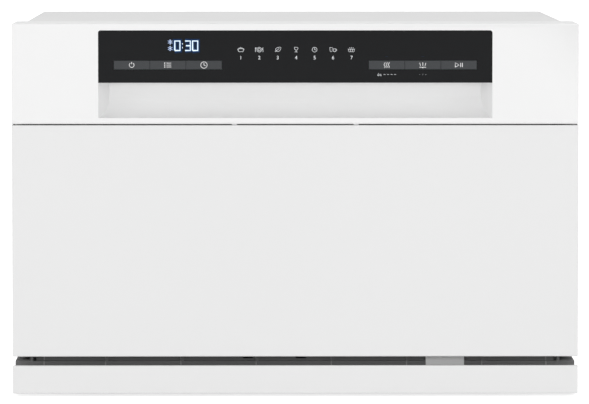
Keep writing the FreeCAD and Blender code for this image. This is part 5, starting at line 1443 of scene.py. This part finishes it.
    def tine_row(self, name: str, y: float) -> None:
        """Make a row of round-tipped tines on the wire that they fold on.

        Args:
            name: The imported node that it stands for.
            y: The row's place, in millimetres.
        """
        right = self.tine_left + self.tine_pitch * (self.tine_count - 1)
        axis = self.metres([(self.tine_left - 12, y, self.pivot_level), (right + 12, y, self.pivot_level)])
        top = self.pivot_level + self.tine_height
        tines = [self.metres([(x, y, self.pivot_level), (x, y, top)])
                 for x in self.spread(self.tine_left, right, self.tine_count)]
        shape = joined([swept([axis], self.wire * MM, tips=True), swept(tines, (self.wire - 0.1) * MM, tips=True)])
        self.workshop.piece(f"{name}_wires", shape, "rack_coat", name, "rack_coat", [name])

    def shelf(self) -> None:
        """Make the fold-up shelf of a bent frame and straight rungs."""
        x = -self.half + self.rim_wire + self.wire + 4
        half = self.shelf_length / 2
        level = self.shelf_level
        axis = self.metres([(x, -half - 9, level), (x, half + 9, level)])
        frame = bent(self.metres([(x, -half + 2, level), (x + self.shelf_reach, -half + 2, level),
                                  (x + self.shelf_reach, half - 2, level), (x, half - 2, level)]), 8 * MM)
        rungs = [self.metres([(x, y, level), (x + self.shelf_reach, y, level)])
                 for y in self.spread(-half + 2, half - 2, self.shelf_wires)[1:-1]]
        thin = (self.wire - 0.1) * MM
        shape = joined([swept([axis], self.wire * MM, tips=True), swept([frame], thin), swept(rungs, thin)])
        self.workshop.piece("cup_shelf_wires", shape, "rack_coat", "cup_shelf", "rack_coat", ["cup_shelf"])

    def wheels(self, name: str, y: float) -> None:
        """Turn a pair of wheels, with a rounded tread, a waist and a hub.

        Args:
            name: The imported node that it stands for.
            y: The axle's place, in millimetres.
        """
        wide, rim, bore = self.wheel_width, self.wheel_radius, self.axle_radius + 0.1
        profile = [(0.0, bore), (0.0, rim - 1.0), (1.0, rim), (wide - 1.0, rim), (wide, rim - 1.0), (wide, rim - 2.4),
                   (wide - 1.6, rim - 3.0), (wide - 1.6, bore + 2.2), (wide, bore + 1.8), (wide, bore), (0.0, bore)]
        sized = [(along * MM, away * MM) for along, away in profile]
        wheel = lathed(sized, (self.wheel_start * MM, y * MM, self.wheel_axis * MM), "X", 36)
        self.workshop.piece(f"{name}_turned", joined([mirrored(wheel), wheel]), "spray_grey", name, "spray_grey",
                            [name])


@dataclass
class Undercarriage:
    """The door springs, the ribs of the base's front wall and the thread of the water inlet."""

    workshop: Workshop
    spring_side: float = 259.2
    spring_level: float = 29.0
    spring_start: float = -160.0
    spring_end: float = -90.0
    spring_radius: float = 3.6
    spring_wire: float = 1.1
    spring_pitch: float = 2.6
    hook_place: Point = (-214.8, 42.9)
    base_face: float = -213.5
    base_low: float = 24.0
    base_step_level: float = 31.3
    rib_start: float = -185.7
    rib_pitch: float = 73.75
    rib_count: int = 6
    end_rib: float = 246.0
    inlet_place: Place = (-196.0, 238.0, 44.0)
    inlet_radius: float = 13.2
    thread_count: int = 6
    thread_pitch: float = 1.8

    def build(self) -> None:
        """Make the springs, the ribs of the base and the thread of the water inlet."""
        self.springs()
        self.base_ribs()
        self.inlet_thread()

    def base_ribs(self) -> None:
        """Stand the moulding's ribs on the front wall of the base, seen in the gap under the door."""
        places = [self.rib_start + self.rib_pitch * i for i in range(self.rib_count)]
        ribs = []
        for x in [-self.end_rib, *places, self.end_rib]:
            low = ((x - 0.6) * MM, (self.base_face - 0.7) * MM, (self.base_low) * MM)
            high = ((x + 0.6) * MM, (self.base_face + 1.0) * MM, (self.base_step_level) * MM)
            ribs.append(block(low, high, 0.3 * MM))
            upper = ((x - 0.6) * MM, (self.base_face + 4.4) * MM, (self.base_step_level) * MM)
            top = ((x + 0.6) * MM, (self.base_face + 5.6) * MM, (self.base_step_level + 8) * MM)
            ribs.append(block(upper, top, 0.3 * MM))
        # the ribs are painted lighter than the base moulding that they belong to, a painted highlight on their edges
        self.workshop.piece("base_front_ribs", joined(ribs), "base_rib_painted_highlight", "cabinet", "base_grey")

    def inlet_thread(self) -> None:
        """Turn the ridges of the water inlet's thread."""
        x, start, level = self.inlet_place
        profile: list[Point] = [(0.0, self.inlet_radius - 1.0)]
        for ridge in range(self.thread_count):
            along = 0.4 + ridge * self.thread_pitch
            profile += [(along, self.inlet_radius - 0.02), (along + 0.5, self.inlet_radius + 0.45),
                        (along + 0.9, self.inlet_radius + 0.45), (along + 1.4, self.inlet_radius - 0.02)]
        profile += [(profile[-1][0] + 0.2, self.inlet_radius - 1.0), profile[0]]
        sized = [(along * MM, away * MM) for along, away in profile]
        shape = lathed(sized, (x * MM, start * MM, level * MM), "Y", 48)
        self.workshop.piece("inlet_thread", shape, "tank_white", "cabinet", "tank_white")

    def springs(self) -> None:
        """Wind the two springs that balance the door, with their hooks and eyes."""
        turns = (self.spring_end - self.spring_start - 6) / self.spring_pitch
        count = int(turns * 16)
        side, level = self.spring_side, self.spring_level
        line: list[Place] = []
        for step in range(count + 1):
            turn = math.tau * step / 16
            y = self.spring_start + 1.5 + (self.spring_end - self.spring_start - 6) * step / count
            across, up = self.spring_radius * math.cos(turn), self.spring_radius * math.sin(turn)
            line.append(((side + across) * MM, y * MM, (level + up) * MM))
        eye = [(side, self.spring_end - 5, level), (side, self.spring_end, level)]
        link = [(side, self.spring_start + 3, level), (side, self.spring_start - 6, level),
                (side, self.hook_place[0], self.hook_place[1])]
        wires = [[(x * MM, y * MM, z * MM) for x, y, z in run] for run in (eye, link)]
        wires[1] = bent(wires[1], 4.0 * MM)
        right = joined([
            swept([line], self.spring_wire * MM, sides=8, tips=True),
            swept(wires, self.spring_wire * MM, tips=True),
        ])
        shape = joined([mirrored(right), right])
        self.workshop.piece("door_spring_coils", shape, "zinc_steel", "cabinet", "zinc_steel", ["door_springs"])


def dress_nodes(nodes: dict[str, bpy.types.Object], palette: Palette) -> None:
    """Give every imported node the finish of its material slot.

    Args:
        nodes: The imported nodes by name.
        palette: Where the finishes come from.
    """
    for name, node in nodes.items():
        slot = node.data.materials[0].name.split(".")[0]
        node.data.materials[0] = palette.get(slot)
        LOG.info("%s dressed in %s", name, slot)


def main() -> None:
    """Build the scene in order."""
    logging.basicConfig(level=logging.INFO, format="%(message)s")
    bpy.ops.wm.read_factory_settings(use_empty=True)
    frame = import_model()
    palette = Palette()
    workshop = Workshop(palette)
    Studio().build()
    dress_nodes(frame["nodes"], palette)
    GripPanel(workshop, frame["nodes"]["control_panel"]).build()
    ControlFascia(workshop).build()
    Screws(workshop).build()
    Rack(workshop).build()
    Undercarriage(workshop).build()


if __name__ == "__main__":
    main()
